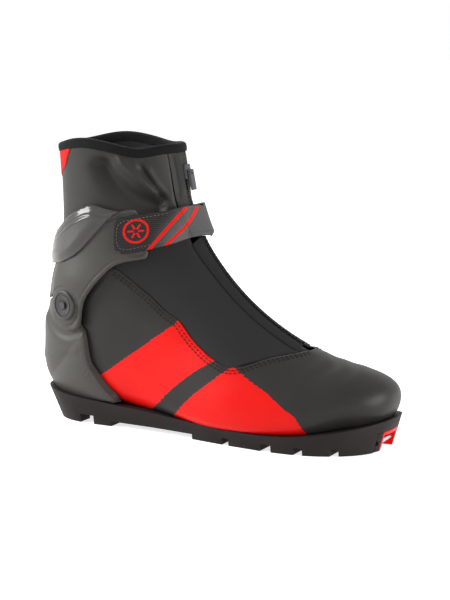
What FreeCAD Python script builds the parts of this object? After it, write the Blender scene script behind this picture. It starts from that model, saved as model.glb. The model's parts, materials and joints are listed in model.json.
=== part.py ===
"""Cross country ski boot, right foot, as separate pieces. Millimetres.

+X points to the toe, +Z up, -Y to the outer (lateral) side. The origin is on
the ground under the middle of the boot.

The soft and shell pieces all follow one skin, the outside of the upper. The
skin is a fan of rings: s runs from the toe (0) to the collar (1), t runs round
each ring: 0 along the instep, 0.25 lateral, 0.5 sole or heel, 0.75 medial. A
piece is a panel of that skin between two depths d, positive outwards.
"""
import FreeCAD, Part
import Sketcher
import math
import os

Vector = FreeCAD.Vector
doc = FreeCAD.newDocument("ski_boot")

SIZES = {
    # overall sizes
    "boot_length": 300.0, "boot_width": 100.0, "boot_height": 217.0,
    # upper and lining
    "overlay_wall": 1.1, "cover_wall": 1.3, "layer_gap": 0.4,
    "lining_wall": 3.4, "puff_wall": 1.2, "board_wall": 1.6, "insole_wall": 3.0,
    "tongue_wall": 3.2, "lace_wall": 1.1, "lace_width": 5.0,
    "binding_wall": 3.2, "patch_wall": 0.8,
    # heel counter, cuff and pivot
    "counter_stand": 0.5, "counter_wall": 2.4, "counter_bulge": 3.0, "counter_flare": 11.0,
    "running_gap": 1.2,
    "cuff_wall": 2.6, "cuff_inset": 0.5, "spoiler_wall": 1.4, "spoiler_crown": 3.4,
    "pin_radius": 4.0, "pin_clearance": 0.05, "washer_radius": 8.0, "washer_wall": 0.6,
    "cap_radius": 11.75, "cap_wall": 2.0, "screw_radius": 3.0, "screw_head": 0.8,
    # strap
    "strap_wall": 2.0, "strap_standoff": 7.0, "patch_gap": 0.3, "hook_wall": 0.6,
    "strap_hinge_gap": 0.7, "rivet_radius": 4.0, "rivet_head": 1.2,
    "rivet_shank": 1.8, "rivet_grip": 7.0, "lobe_clear": 23.5,
    # zip
    "zip_wall": 1.3, "coil_wall": 1.5, "coil_stand": 0.9,
    "slider_length": 11.0, "slider_width": 8.0, "slider_depth": 2.4, "slider_lift": 0.5,
    "lug_length": 2.6, "lug_width": 2.8, "lug_rise": 3.2,
    "pull_length": 16.0, "pull_width": 6.0, "pull_wall": 1.8, "pull_ear": 1.2, "pull_slot": 3.5,
    "pull_pin": 0.5, "stop_length": 4.0, "stop_width": 5.0, "stop_rise": 1.6,
    # sole and toe bar
    "groove_width": 8.0, "groove_spacing": 26.0, "groove_depth": 4.5, "notch_depth": 5.5,
    "heel_notch_depth": 7.0, "shank_lift": 4.0, "bar_radius": 2.0, "bar_height": 7.5,
    "bar_setback": 10.0, "fork_gap": 21.0, "fork_leg": 7.5, "insert_height": 15.0,
    "insert_depth": 22.0, "insert_back": 3.0, "toe_centre": 2.0,
}

sheet = doc.addObject("Spreadsheet::Sheet", "Sizes")
for row, (name, value) in enumerate(SIZES.items(), 1):
    sheet.set(f"A{row}", name)
    sheet.set(f"B{row}", str(value))
    sheet.setAlias(f"B{row}", name)
doc.recompute()


def size(name):
    return float(sheet.get(name))


# The stations of the last at its reference size. Each ring: front or top point
# x, z; back or bottom point x, z; half widths at top, middle and bottom; and how
# far the ring sits to the medial side.
REFERENCE = {"boot_length": 300.0, "boot_width": 100.0, "boot_height": 217.0}
STATIONS = [
    (146, 26, 141, 22, 8, 9, 8, 4),
    (148, 31, 137, 20, 15, 17, 16, 4),
    (149, 42, 124, 16, 23, 28, 27, 4),
    (142, 52, 107, 13, 29, 37, 36, 3),
    (125, 59, 89, 10, 30, 44, 46, 1),
    (102, 65, 65, 9, 29, 47, 49, -1),
    (76, 75, 39, 8, 26, 47, 49, -2),
    (49, 90, 11, 9, 24, 45, 46, -2),
    (24, 109, -19, 12, 23, 41, 40, -1),
    (4, 130, -55, 15, 23, 38, 35, 0),
    (-9, 149, -95, 17, 25, 37, 33, 0),
    (-16, 166, -129, 26, 28, 37, 32, 0),
    (-21, 180, -146, 58, 31, 37, 32, 0),
    (-24, 192, -143, 96, 33, 37, 33, 0),
    (-26, 202, -136, 131, 34, 37, 35, 0),
    (-28, 211, -132, 170, 35, 37, 36, 0),
    (-30, 220, -134, 217, 36, 37, 37, 0),
]
SCALE_X = size("boot_length") / REFERENCE["boot_length"]
SCALE_Y = size("boot_width") / REFERENCE["boot_width"]
SCALE_Z = size("boot_height") / REFERENCE["boot_height"]
RING_SCALES = (SCALE_X, SCALE_Z, SCALE_X, SCALE_Z, SCALE_Y, SCALE_Y, SCALE_Y, SCALE_Y)
RINGS = [[v * k for v, k in zip(station, RING_SCALES)] for station in STATIONS]


def spline_bends(values):
    """Second derivatives of the natural cubic spline through evenly spaced values."""
    count = len(values)
    upper, right = [0.0] * count, [0.0] * count
    for i in range(1, count - 1):
        pivot = 4.0 - upper[i - 1]
        upper[i] = 1.0 / pivot
        step = 6.0 * (values[i - 1] - 2 * values[i] + values[i + 1])
        right[i] = (step - right[i - 1]) / pivot
    bends = [0.0] * count
    for i in range(count - 2, 0, -1):
        bends[i] = right[i] - upper[i] * bends[i + 1]
    return bends


BENDS = list(zip(*[spline_bends([ring[k] for ring in RINGS]) for k in range(8)]))


def ring_at(s):
    """The eight ring values at s."""
    place = min(max(s, 0.0), 1.0) * (len(RINGS) - 1)
    i = min(int(place), len(RINGS) - 2)
    f = place - i
    near, far = ((1 - f) ** 3 - (1 - f)) / 6, (f**3 - f) / 6
    rows = zip(RINGS[i], RINGS[i + 1], BENDS[i], BENDS[i + 1])
    return [a * (1 - f) + b * f + near * c + far * d for a, b, c, d in rows]


def skin(s, t, d=0.0):
    """Point of the skin at s, t and depth d."""
    xf, zf, xb, zb, wt, wm, wb, shift = ring_at(s)
    c, sn = math.cos(2 * math.pi * t), math.sin(2 * math.pi * t)
    foot = min(max((0.70 - s) / 0.2, 0.0), 1.0)
    power = 2 + 0.25 * foot if c > 0 else 2 + 4 * foot
    reach = (abs(c) ** power + abs(sn) ** power) ** (-1 / power)
    c, sn = c * reach, sn * reach
    width = wm + (wt - wb) / 2 * c + ((wt + wb) / 2 - wm) * c * c + d
    along = c * (0.5 + d / math.hypot(xf - xb, zf - zb))
    return Vector((xf + xb) / 2 + along * (xf - xb), shift - sn * width,
                  (zf + zb) / 2 + along * (zf - zb))


def normal(s, t, d=0.0):
    """Outward normal of the skin."""
    step = 1e-3
    across = skin(s + step, t, d) - skin(s - step, t, d)
    around = skin(s, t + step, d) - skin(s, t - step, d)
    return across.cross(around).normalize()


def smooth(x):
    x = min(max(x, 0.0), 1.0)
    return x * x * (3 - 2 * x)


def curve(points):
    """Smooth function through points that never overshoots them."""
    if callable(points):
        return points, []
    xs, ys = [p[0] for p in points], [p[1] for p in points]
    widths = [b - a for a, b in zip(xs, xs[1:])]
    slopes = [(b - a) / w for a, b, w in zip(ys, ys[1:], widths)]
    tangents = [slopes[0]]
    for a, b, wa, wb in zip(slopes, slopes[1:], widths, widths[1:]):
        level = a * b <= 0
        tangents.append(0.0 if level else 3 * (wa + wb) / ((2 * wb + wa) / a + (wb + 2 * wa) / b))
    tangents.append(slopes[-1])

    def value(x):
        i = max(0, min(len(widths) - 1, sum(1 for k in xs[1:-1] if x >= k)))
        w = widths[i]
        f = min(max((x - xs[i]) / w, 0.0), 1.0)
        a, b = (1 + 2 * f) * (1 - f) ** 2, f * f * (3 - 2 * f)
        c, e = f * (1 - f) ** 2 * w, f * f * (f - 1) * w
        return a * ys[i] + b * ys[i + 1] + c * tangents[i] + e * tangents[i + 1]

    return value, xs


def steps(first, last, knots, longest):
    """Places from first to last: every knot, and evenly between them."""
    marks = sorted({first, last} | {k for k in knots if first < k < last})
    places = [first]
    for a, b in zip(marks, marks[1:]):
        count = max(1, math.ceil((b - a) / longest))
        places += [a + (b - a) * i / count for i in range(1, count + 1)]
    return places


ROWS = [i / 12 for i in range(13)]


def over_t(low, high, span=None, longest=0.02):
    """Region of the skin between two edges given as s over t."""
    (lo, lo_knots), (hi, hi_knots) = curve(low), curve(high)
    first, last = span or (lo_knots[0], lo_knots[-1])
    ts = steps(first, last, lo_knots + hi_knots, longest)
    return [[(lo(t) + (hi(t) - lo(t)) * v, t, v) for v in ROWS] for t in ts]


def over_s(low, high, span=None, longest=0.02):
    """Region of the skin between two edges given as t over s."""
    (lo, lo_knots), (hi, hi_knots) = curve(low), curve(high)
    first, last = span or (lo_knots[0], lo_knots[-1])
    ss = steps(first, last, lo_knots + hi_knots, longest)
    return [[(s, lo(s) + (hi(s) - lo(s)) * v, v) for v in ROWS] for s in ss]


def mirrored(region):
    """The same region on the medial side."""
    return [[(s, 1 - t, v) for s, t, v in row] for row in region]


def depth(value):
    """A layer of the skin: a fixed depth, or a function of s, t and v."""
    if callable(value):
        return value
    return lambda s, t, v: skin(s, t, value)


def woven(grid):
    """Surface through a grid of points."""
    def strand(points, places):
        path = Part.BSplineCurve()
        path.interpolate(Points=points, Parameters=places)
        return path

    middle = [row[len(row) // 2] for row in grid]
    lengths = [0.0]
    for a, b in zip(middle, middle[1:]):
        lengths.append(lengths[-1] + (b - a).Length)
    wefts = [strand(row, [float(i) for i in range(len(row))]) for row in grid]
    warps = [strand(list(column), lengths) for column in zip(*[weft.getPoles() for weft in wefts])]
    surface = Part.BSplineSurface()
    surface.buildFromPolesMultsKnots(
        [list(row) for row in zip(*[warp.getPoles() for warp in warps])],
        warps[0].getMultiplicities(), wefts[0].getMultiplicities(),
        warps[0].getKnots(), wefts[0].getKnots(), False, False, warps[0].Degree, wefts[0].Degree)
    return surface


def panel(region, outer, inner):
    """Closed solid between two layers over a region."""
    sheets = [woven([[layer(*place) for place in row] for row in region])
              for layer in (depth(outer), depth(inner))]
    sides = []
    for surface in sheets:
        u0, u1, v0, v1 = surface.bounds()
        isos = (surface.uIso(u0), surface.uIso(u1), surface.vIso(v0), surface.vIso(v1))
        sides.append([iso.toShape() for iso in isos])
    faces = [surface.toShape() for surface in sheets]
    faces += [Part.makeRuledSurface(a, b) for a, b in zip(*sides)]
    shell = Part.makeShell(faces)
    shell.sewShape()
    solid = Part.Solid(shell)
    if solid.Volume < 0:
        solid.reverse()
    return solid


NODES = []


def node(name, shape):
    """A piece whose shape comes from the skin."""
    piece = doc.addObject("Part::Feature", name)
    piece.Label = name
    piece.Shape = shape
    NODES.append(piece)


def mended(shape):
    """One clean solid, or several, after cuts."""
    solids = sorted(shape.Solids, key=lambda solid: -solid.Volume)
    return solids[0] if len(solids) == 1 else Part.makeCompound(solids)


# ---- layers, from the outside of the upper inwards -------------------------
GAP = size("layer_gap")
OVERLAY_IN = -size("overlay_wall")
COVER_OUT = OVERLAY_IN - GAP
COVER_IN = COVER_OUT - size("cover_wall")
LINING_OUT = COVER_IN - GAP
LINING_IN = LINING_OUT - size("lining_wall")
LACE_OUT = COVER_IN - GAP
LACE_IN = LACE_OUT - size("lace_wall")
TONGUE_OUT = LACE_IN - GAP
TONGUE_IN = TONGUE_OUT - size("tongue_wall")
COLLAR_OUT = -0.4
COLLAR_IN = COVER_IN
INSOLE_OUT = LINING_IN - 2 * GAP
INSOLE_IN = INSOLE_OUT - size("insole_wall")
BAND_OUT = -0.3
GUSSET_OUT = -1.4
COUNTER_IN = size("counter_stand")
COUNTER_OUT = COUNTER_IN + size("counter_wall")
LOBE_CLEAR = size("lobe_clear")
CUFF_OVER_COUNTER = COUNTER_OUT + size("running_gap")

# ---- lines on the skin that several pieces share ---------------------------
ZIP_HALF = 0.012          # zip coil, each side of the instep line, in t
BAND_EDGE = 0.064         # outer edge of the zip bands, in t
EYELET_EDGE = 0.108       # edge of the tongue, in t
LINING_EDGE = 0.113       # edge of the lining beside the tongue, in t
STAY_EDGE, LACE_EDGE = 0.088, 0.084   # eyelet stays and the lace between them, in t
LACE_RUNGS = 6
LACE_S_PER_MM = 0.0021    # how far s runs per millimetre along the instep
SOLE_EDGE = 0.405         # where the upper turns under the foot, in t
ANKLE_START, ANKLE_RISE, ANKLE_BAND = 0.639, 0.183, 0.061
SEAM_T = 0.004            # half a butted seam, in t
SEAM_S = 0.002            # half a butted seam, in s


def ankle_low(t):
    """Top edge of everything that stays with the foot."""
    return ANKLE_START + ANKLE_RISE * abs(math.sin(math.pi * t))


def ankle_high(t):
    """Bottom edge of everything that moves with the cuff."""
    return ankle_low(t) + ANKLE_BAND


def cuff_inner(s, t, extra=0.0):
    """Inside of the cuff: over the counter below, close to the collar above."""
    spot = skin(s, t)
    over = 1 - smooth((spot.z - 112 * SCALE_Z) / (28 * SCALE_Z))
    inset = size("cuff_inset")
    return skin(s, t, inset + (CUFF_OVER_COUNTER - inset) * over + extra)


# ---- sole ------------------------------------------------------------------
# outlines: x, lateral y, medial y
TREAD = [(-135, 0, 0), (-131, -14, 14), (-120, -24, 24), (-100, -30, 30), (-75, -31, 30),
         (-45, -33, 30), (-7, -38, 33), (33, -45, 40), (68, -49, 45), (98, -47, 46),
         (120, -38, 41), (134, -26, 31), (141, -12, 19), (143, 3, 3)]
RIM = [(-149, 0, 0), (-144, -15, 15), (-132, -27, 27), (-112, -34, 34), (-87, -36, 36),
       (-47, -38, 35), (-7, -42, 37), (33, -49, 44), (68, -53, 49), (98, -51, 50),
       (123, -42, 44), (140, -28, 33), (149, -12, 20), (151, 4, 4)]
RIM_LEVEL = 28.0
# height of the sole's rim along the boot
RIM_LINE = [(-160, 25), (-128, 23), (-107, 21), (-47, 17), (3, 13), (43, 12), (83, 13),
            (113, 17), (138, 22), (160, 27)]


def outline(points, z):
    around = [(x, lateral) for x, lateral, _ in points]
    around += [(x, medial) for x, _, medial in reversed(points[1:-1])]
    path = Part.BSplineCurve()
    spots = [Vector(x * SCALE_X, y * SCALE_Y, z * SCALE_Z) for x, y in around]
    path.interpolate(Points=spots, PeriodicFlag=True)
    return Part.Wire(path.toShape())


def side_slab(top, bottom_level, lift=0.0):
    """Everything across the boot between a level and a line of x, z points."""
    path = Part.BSplineCurve()
    path.interpolate([Vector(x * SCALE_X, 0, z * SCALE_Z + lift) for x, z in top])
    first, last = path.value(path.FirstParameter), path.value(path.LastParameter)
    low = [Vector(last.x, 0, bottom_level), Vector(first.x, 0, bottom_level)]
    edges = [path.toShape(), Part.makeLine(last, low[0]), Part.makeLine(low[0], low[1]),
             Part.makeLine(low[1], first)]
    face = Part.Face(Part.Wire(edges))
    face.translate(Vector(0, -100, 0))
    return face.extrude(Vector(0, 200, 0))


def block(x0, x1, y0, y1, z0, z1):
    return Part.makeBox(x1 - x0, y1 - y0, z1 - z0, Vector(x0, y0, z0))


def foot_space():
    """What the upper fills of the sole: its underside, lifted straight up."""
    region = over_s(lambda s: 0.26, lambda s: 0.74, (0.0, 0.80), 0.02)
    rows = [i / 24 for i in range(25)]
    region = [[(row[0][0], 0.26 + 0.48 * v, v) for v in rows] for row in region]
    lift = Vector(0, 0, 90 * SCALE_Z)
    return panel(region, lambda s, t, v: skin(s, t, GAP), lambda s, t, v: skin(s, t, GAP) + lift)


SOLE_BLOCK = Part.makeLoft([outline(TREAD, 0), outline(RIM, RIM_LEVEL)], True, True)
BAR_X = 151 * SCALE_X - size("bar_setback")
INSERT_FRONT = 155 * SCALE_X
INSERT_BACK = 151 * SCALE_X - size("insert_depth")
INSERT_HALF = size("fork_gap") / 2 + size("fork_leg")
TOE_Y = size("toe_centre") * SCALE_Y


def make_outsole():
    sole = SOLE_BLOCK.common(side_slab(RIM_LINE, -5))
    sole = sole.cut(foot_space())
    reach = 60 * SCALE_Y
    notches = [(-105, -92, size("heel_notch_depth")), (-76, 0, size("shank_lift"))]
    notches += [(x0, x1, size("notch_depth")) for x0, x1 in ((28, 34), (62, 71), (89, 96), (115, 121))]
    cuts = [block(x0 * SCALE_X, x1 * SCALE_X, -reach, reach, -5, deep) for x0, x1, deep in notches]
    half = size("groove_width") / 2
    for side in (-1, 1):
        middle = side * size("groove_spacing") / 2 + TOE_Y
        cuts.append(block(-160 * SCALE_X, INSERT_BACK - 3, middle - half, middle + half,
                          -5, size("groove_depth")))
    cuts.append(block(INSERT_BACK - GAP, INSERT_FRONT, TOE_Y - INSERT_HALF - GAP,
                      TOE_Y + INSERT_HALF + GAP, -5, size("insert_height") + GAP))
    return mended(sole.cut(Part.makeCompound(cuts)))


def make_toe_insert():
    """Fork that holds the toe bar, trimmed flush with the sole."""
    low, high = GAP, size("insert_height")
    body = block(INSERT_BACK, INSERT_FRONT, TOE_Y - INSERT_HALF, TOE_Y + INSERT_HALF, low, high)
    gap = size("fork_gap") / 2
    channel = block(INSERT_BACK + size("insert_back"), INSERT_FRONT, TOE_Y - gap, TOE_Y + gap,
                    low - 1, high - 2.5)
    bar = Part.makeCylinder(size("bar_radius"), 2 * INSERT_HALF,
                            Vector(BAR_X, TOE_Y - INSERT_HALF, size("bar_height")), Vector(0, 1, 0))
    return mended(body.cut(channel).cut(bar).common(SOLE_BLOCK))


node("outsole", make_outsole())
node("toe_insert", make_toe_insert())

toe_bar = doc.addObject("Part::Cylinder", "toe_bar")
toe_bar.setExpression("Radius", "Sizes.bar_radius")
toe_bar.setExpression("Height", "Sizes.fork_gap + 1.4 * Sizes.fork_leg")
toe_bar.Placement = FreeCAD.Placement(
    Vector(BAR_X, TOE_Y - size("fork_gap") / 2 - 0.7 * size("fork_leg"), size("bar_height")),
    FreeCAD.Rotation(Vector(1, 0, 0), -90))
NODES.append(toe_bar)

node("lasting_board", panel(over_s(lambda s: 0.425, lambda s: 0.575, (0.10, 0.655)),
                            -GAP, -GAP - size("board_wall")))
node("insole", panel(over_s(lambda s: 0.415, lambda s: 0.585, (0.15, 0.645)), INSOLE_OUT, INSOLE_IN))

# ---- upper that stays with the foot ----------------------------------------
VAMP_SIDE = [(0.0, 0.357), (0.086, 0.370), (0.150, 0.398), (0.174, 0.388), (0.216, 0.355),
             (0.266, 0.315), (0.316, 0.275), (0.366, 0.235), (SOLE_EDGE, 0.202)]
VAMP_EDGE = [(-t, s) for t, s in reversed(VAMP_SIDE[1:])] + VAMP_SIDE
node("vamp", panel(over_t(lambda t: 0.0, curve(VAMP_EDGE)[0], (-SOLE_EDGE, SOLE_EDGE)),
                   0.0, OVERLAY_IN))
node("toe_puff", panel(over_t(lambda t: 0.03, lambda t: 0.20, (-0.36, 0.36)),
                       COVER_OUT, COVER_OUT - size("puff_wall")))
node("toe_lining", panel(over_t(lambda t: 0.13, lambda t: 0.345, (-SOLE_EDGE, SOLE_EDGE)),
                         LINING_OUT, LINING_IN))

QUARTER_TOP = [(0.205, 0.402), (0.240, 0.362), (0.280, 0.312), (0.320, 0.262), (0.360, 0.212),
               (0.392, 0.172), (0.406, 0.172), (0.422, 0.192), (0.443, 0.213), (0.487, 0.218),
               (0.520, 0.212), (0.557, 0.200), (0.638, 0.196), (0.693, 0.202), (0.733, 0.216),
               (0.748, 0.234)]
QUARTER_TOP = [(s, t + SEAM_T) for s, t in QUARTER_TOP]
QUARTER_SOLE = [(0.205, 0.410), (0.500, SOLE_EDGE), (0.580, 0.405), (0.640, 0.395),
                (0.680, 0.365), (0.748, 0.340)]
QUARTER = over_s(QUARTER_TOP, QUARTER_SOLE)
COVER_LOW = [(BAND_EDGE, 0.368), (0.086, 0.374), (0.146, 0.400), (0.190, 0.424), (0.240, 0.450),
             (0.300, 0.560), (0.345, 0.700)]
COVER = over_t(COVER_LOW, ankle_low)
LINING = over_s(lambda s: LINING_EDGE, lambda s: 0.5 - SEAM_T, (0.352, 0.635))
ZIP_BAND = over_s(lambda s: ZIP_HALF + 0.002, lambda s: BAND_EDGE - SEAM_T, (0.374, 0.630))
STAY = over_s(lambda s: STAY_EDGE, lambda s: EYELET_EDGE, (0.395, 0.605))
for side, turn in (("lateral", list), ("medial", mirrored)):
    node(f"quarter_{side}", panel(turn(QUARTER), 0.0, OVERLAY_IN))
    node(f"lace_cover_{side}", panel(turn(COVER), COVER_OUT, COVER_IN))
    node(f"lining_{side}", panel(turn(LINING), LINING_OUT, LINING_IN))
    node(f"zip_band_{side}", panel(turn(ZIP_BAND), BAND_OUT, BAND_OUT - size("zip_wall")))
    node(f"eyelet_stay_{side}", panel(turn(STAY), LACE_OUT, LACE_IN))
HEEL_LOW = [(0.348, 0.745), (0.371, 0.687), (0.401, 0.652), (0.430, 0.656), (0.500, 0.660)]
HEEL_LOW += [(1 - t, s) for t, s in reversed(HEEL_LOW[:-1])]
node("heel_pocket", panel(over_t(HEEL_LOW, ankle_low), -0.2, OVERLAY_IN))
HEEL_SPLIT = 0.362        # where the heel lining's side pieces meet its back, in t
for name, span in (("heel_lining_lateral", (LINING_EDGE, HEEL_SPLIT)),
                   ("heel_lining_back", (HEEL_SPLIT + SEAM_T, 1 - HEEL_SPLIT - SEAM_T)),
                   ("heel_lining_medial", (1 - HEEL_SPLIT, 1 - LINING_EDGE))):
    node(name, panel(over_t(lambda t: 0.640, ankle_low, span), LINING_OUT, LINING_IN))
node("tongue", panel(over_s(lambda s: -EYELET_EDGE, lambda s: EYELET_EDGE, (0.365, 0.625)),
                     TONGUE_OUT, TONGUE_IN))


def make_lace():
    """Flat lace in a zigzag between the eyelet stays."""
    half = size("lace_width") / 2 * LACE_S_PER_MM
    rungs = []
    for i in range(LACE_RUNGS):
        start, rise = 0.410 + i * 0.034, 0.016 * (1 if i % 2 else -1)
        middle = [(-LACE_EDGE, start + rise / 2), (LACE_EDGE, start - rise / 2)]
        edges = [[(t, s + shift) for t, s in middle] for shift in (-half, half)]
        rungs.append(panel(over_t(*edges), LACE_OUT, LACE_IN))
    return Part.makeCompound(rungs)


node("lace", make_lace())
ZIP_COIL = over_s(lambda s: -ZIP_HALF + 0.002, lambda s: ZIP_HALF - 0.002, (0.376, 0.630))
node("zip_coil", panel(ZIP_COIL, BAND_OUT + size("coil_stand"),
                       BAND_OUT + size("coil_stand") - size("coil_wall")))
node("ankle_flex", panel(over_t(lambda t: ankle_low(t) + SEAM_S, lambda t: ankle_high(t) - SEAM_S,
                                (ZIP_HALF, 1 - ZIP_HALF)), -0.6, LINING_IN))

# ---- heel counter ----------------------------------------------------------
PIVOT_S, PIVOT_T = 0.758, 0.324
PIVOT = skin(PIVOT_S, PIVOT_T, COUNTER_OUT)
ACROSS = Vector(0, 1, 0)


def pivot_rod(radius, side):
    """Rod on the pivot axis, on one side of the boot."""
    return Part.makeCylinder(radius, 60 * SCALE_Y, Vector(PIVOT.x, 0, PIVOT.z), ACROSS * side)


def beside_pivot(side, outer, inner):
    """Slab of the layers around one pivot."""
    region = over_t(lambda t: PIVOT_S - 0.09, lambda t: PIVOT_S + 0.09,
                    (PIVOT_T - 0.085, PIVOT_T + 0.085), 0.01)
    return panel(region if side < 0 else mirrored(region), outer, inner)


def counter_outer(s, t, v):
    """Outside of the counter: recessed round the pivots, swollen and flared below."""
    spot = skin(s, t)
    away = math.hypot(spot.x - PIVOT.x, spot.z - PIVOT.z)
    swell = smooth((away - LOBE_CLEAR) / 4) * smooth((PIVOT.z - 5 - spot.z) / 8)
    flare = max(0.0, -math.cos(2 * math.pi * t)) ** 2 * smooth((72 * SCALE_Z - spot.z) / (46 * SCALE_Z))
    point = skin(s, t, COUNTER_OUT + size("counter_bulge") * swell)
    return point - Vector(size("counter_flare") * flare, 0, 0)


# top and front edge of the counter, seen from the side: x, z
COUNTER_LINE = [(-165, 89), (-146, 90.5), (-128, 98), (-119.5, 104.5), (-113, 106), (-108, 100),
                (-101, 82), (-96, 72), (-93.5, 61), (-90, 50), (-84, 41.5), (-74, 31), (-62, 19),
                (-50, 5)]
CUFF_LOW = [(0.156, 0.702), (0.162, 0.696), (0.172, 0.704), (0.198, 0.728), (0.222, 0.740),
            (0.262, 0.738), (0.282, 0.731), (0.304, 0.710), (0.318, 0.716), (0.338, 0.731),
            (0.354, 0.750), (0.368, 0.783), (0.390, 0.802), (0.500, 0.812)]
CUFF_HIGH = [(0.156, 0.797), (0.163, 0.820), (0.176, 0.835), (0.200, 0.850), (0.214, 0.853),
             (0.250, 0.870), (0.300, 0.886), (0.400, 0.893), (0.500, 0.895)]
SPOILER_LOW = [(0.200, 0.8465), (0.218, 0.849), (0.286, 0.829), (0.340, 0.838), (0.400, 0.855),
               (0.500, 0.868)]
SPOILER_HIGH = [(0.200, 0.8505), (0.220, 0.870), (0.242, 0.890), (0.264, 0.905), (0.286, 0.910),
                (0.330, 0.912), (0.400, 0.906), (0.500, 0.910)]


def both_sides(edge):
    """An edge that runs on round the back to the medial side."""
    return edge + [(1 - t, s) for t, s in reversed(edge[:-1])]


def make_counter():
    region = over_t(lambda t: 0.585, lambda t: 0.820, (0.285, 0.715))
    shell = panel(region, counter_outer, COUNTER_IN)
    shell = shell.common(side_slab(COUNTER_LINE, -5)).cut(side_slab(RIM_LINE, -5, GAP))
    bores = [pivot_rod(size("pin_radius") + size("pin_clearance"), side) for side in (-1, 1)]
    return mended(shell.cut(Part.makeCompound(bores)))


node("heel_counter", make_counter())

# ---- cuff, spoiler and pivots ----------------------------------------------
CUFF_WALL = size("cuff_wall")
RIVET_SPOTS = [(0.745, 0.812), (0.805, 0.812)]


def cuff_layer(extra):
    return lambda s, t, v: cuff_inner(s, t, extra)


def strap_layer(extra):
    """Close to the cuff's arms at the sides, standing off over the instep."""
    stack = CUFF_WALL + 3 * size("patch_gap") + 2 * size("hook_wall")

    def place(s, t, v):
        turn = t if t < 0.5 else t - 1
        hold = smooth((abs(turn) - 0.060) / 0.095)
        near = cuff_inner(s, t, stack + extra)
        return near * hold + skin(s, t, size("strap_standoff") + extra) * (1 - hold)

    return place


def rivet_frame(s, t):
    """Placement on the strap's outside, with Z outwards."""
    spot = strap_layer(size("strap_wall"))(s, t, 0)
    out = normal(s, t)
    return FreeCAD.Placement(spot, FreeCAD.Rotation(Vector(0, 0, 1), out))


def rivet_hole(s, t):
    frame = rivet_frame(s, t)
    out = frame.Rotation.multVec(Vector(0, 0, 1))
    return Part.makeCylinder(size("rivet_shank"), 16, frame.Base - out * 15, out)


def make_cuff():
    shell = panel(over_t(both_sides(CUFF_LOW), both_sides(CUFF_HIGH), longest=0.012),
                  cuff_layer(CUFF_WALL), cuff_layer(0.0))
    holes = [pivot_rod(size("pin_radius") + size("pin_clearance"), side) for side in (-1, 1)]
    holes += [rivet_hole(*spot) for spot in RIVET_SPOTS]
    return mended(shell.cut(Part.makeCompound(holes)))


def spoiler_outer(s, t, v):
    edge = math.sin(math.pi * v) ** 0.7 * smooth((0.5 - abs(t - 0.5) - 0.20) / 0.06)
    return cuff_inner(s, t, CUFF_WALL + GAP + size("spoiler_wall") + size("spoiler_crown") * edge)


node("cuff_shell", make_cuff())
node("cuff_spoiler", panel(over_t(both_sides(SPOILER_LOW), both_sides(SPOILER_HIGH)),
                           spoiler_outer, cuff_layer(CUFF_WALL + GAP)))


def make_pins(side):
    return pivot_rod(size("pin_radius"), side).common(
        beside_pivot(side, cuff_layer(CUFF_WALL), COUNTER_IN + GAP))


def make_washer(side):
    ring = pivot_rod(size("washer_radius"), side).cut(
        pivot_rod(size("pin_radius") + size("pin_clearance"), side))
    return ring.common(beside_pivot(side, cuff_layer(-0.1), cuff_layer(-0.1 - size("washer_wall"))))


def pivot_frame(side):
    """Placement on the cuff over one pivot, with Z outwards."""
    t = PIVOT_T if side < 0 else 1 - PIVOT_T
    out = normal(PIVOT_S, t)
    reach = (cuff_inner(PIVOT_S, t, CUFF_WALL) - skin(PIVOT_S, t)).Length
    on_axis = Vector(PIVOT.x, skin(PIVOT_S, t, reach).y, PIVOT.z)
    return FreeCAD.Placement(on_axis, FreeCAD.Rotation(Vector(0, 0, 1), out))


def make_cap(side):
    frame = pivot_frame(side)
    out = frame.Rotation.multVec(Vector(0, 0, 1))
    disc = Part.makeCylinder(size("cap_radius"), 6 + size("cap_wall"), frame.Base - out * 6, out)
    rim = [edge for edge in disc.Edges if abs((edge.CenterOfMass - frame.Base).dot(out)
                                              - size("cap_wall")) < 1e-3]
    disc = disc.makeFillet(0.5 * size("cap_wall"), rim)
    return disc.cut(beside_pivot(side, cuff_layer(CUFF_WALL + 0.1), -8.0))


def pair(make):
    return Part.makeCompound([mended(make(side)) for side in (-1, 1)])


node("pivot_pins", pair(make_pins))
node("pivot_washers", pair(make_washer))
node("pivot_caps", pair(make_cap))


def turned(name, steps_up):
    """PartDesign body of stacked round pads: (radius expression, height expression)."""
    body = doc.addObject("PartDesign::Body", name)
    plane = [f for f in body.Origin.OriginFeatures if f.Role == "XY_Plane"][0]
    for i, (radius, height, level) in enumerate(steps_up):
        sketch = body.newObject("Sketcher::SketchObject", f"{name}_sketch_{i}")
        sketch.AttachmentSupport = [(plane, "")]
        sketch.MapMode = "FlatFace"
        sketch.addGeometry(Part.Circle(Vector(0, 0, 0), Vector(0, 0, 1), 1 + i), False)
        sketch.addConstraint(Sketcher.Constraint("Coincident", 0, 3, -1, 1))
        sketch.addConstraint(Sketcher.Constraint("Radius", 0, 1 + i))
        sketch.setExpression("Constraints[1]", radius)
        sketch.setExpression(".AttachmentOffset.Base.z", level)
        pad = body.newObject("PartDesign::Pad", f"{name}_pad_{i}")
        pad.Profile = sketch
        pad.setExpression("Length", height)
    return body


def group(name, pieces):
    """One node of several identical pieces."""
    whole = doc.addObject("Part::Compound", name)
    whole.Links = pieces
    NODES.append(whole)


rivets = []
for number, spot in enumerate(RIVET_SPOTS, 1):
    rivet = turned(f"strap_rivet_{number}", [
        ("Sizes.rivet_shank - Sizes.pin_clearance", "Sizes.rivet_grip + Sizes.patch_gap",
         "-Sizes.rivet_grip"),
        ("Sizes.rivet_radius", "Sizes.rivet_head", "Sizes.patch_gap")])
    rivet.Placement = rivet_frame(*spot)
    rivets.append(rivet)
group("strap_rivets", rivets)

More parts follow.
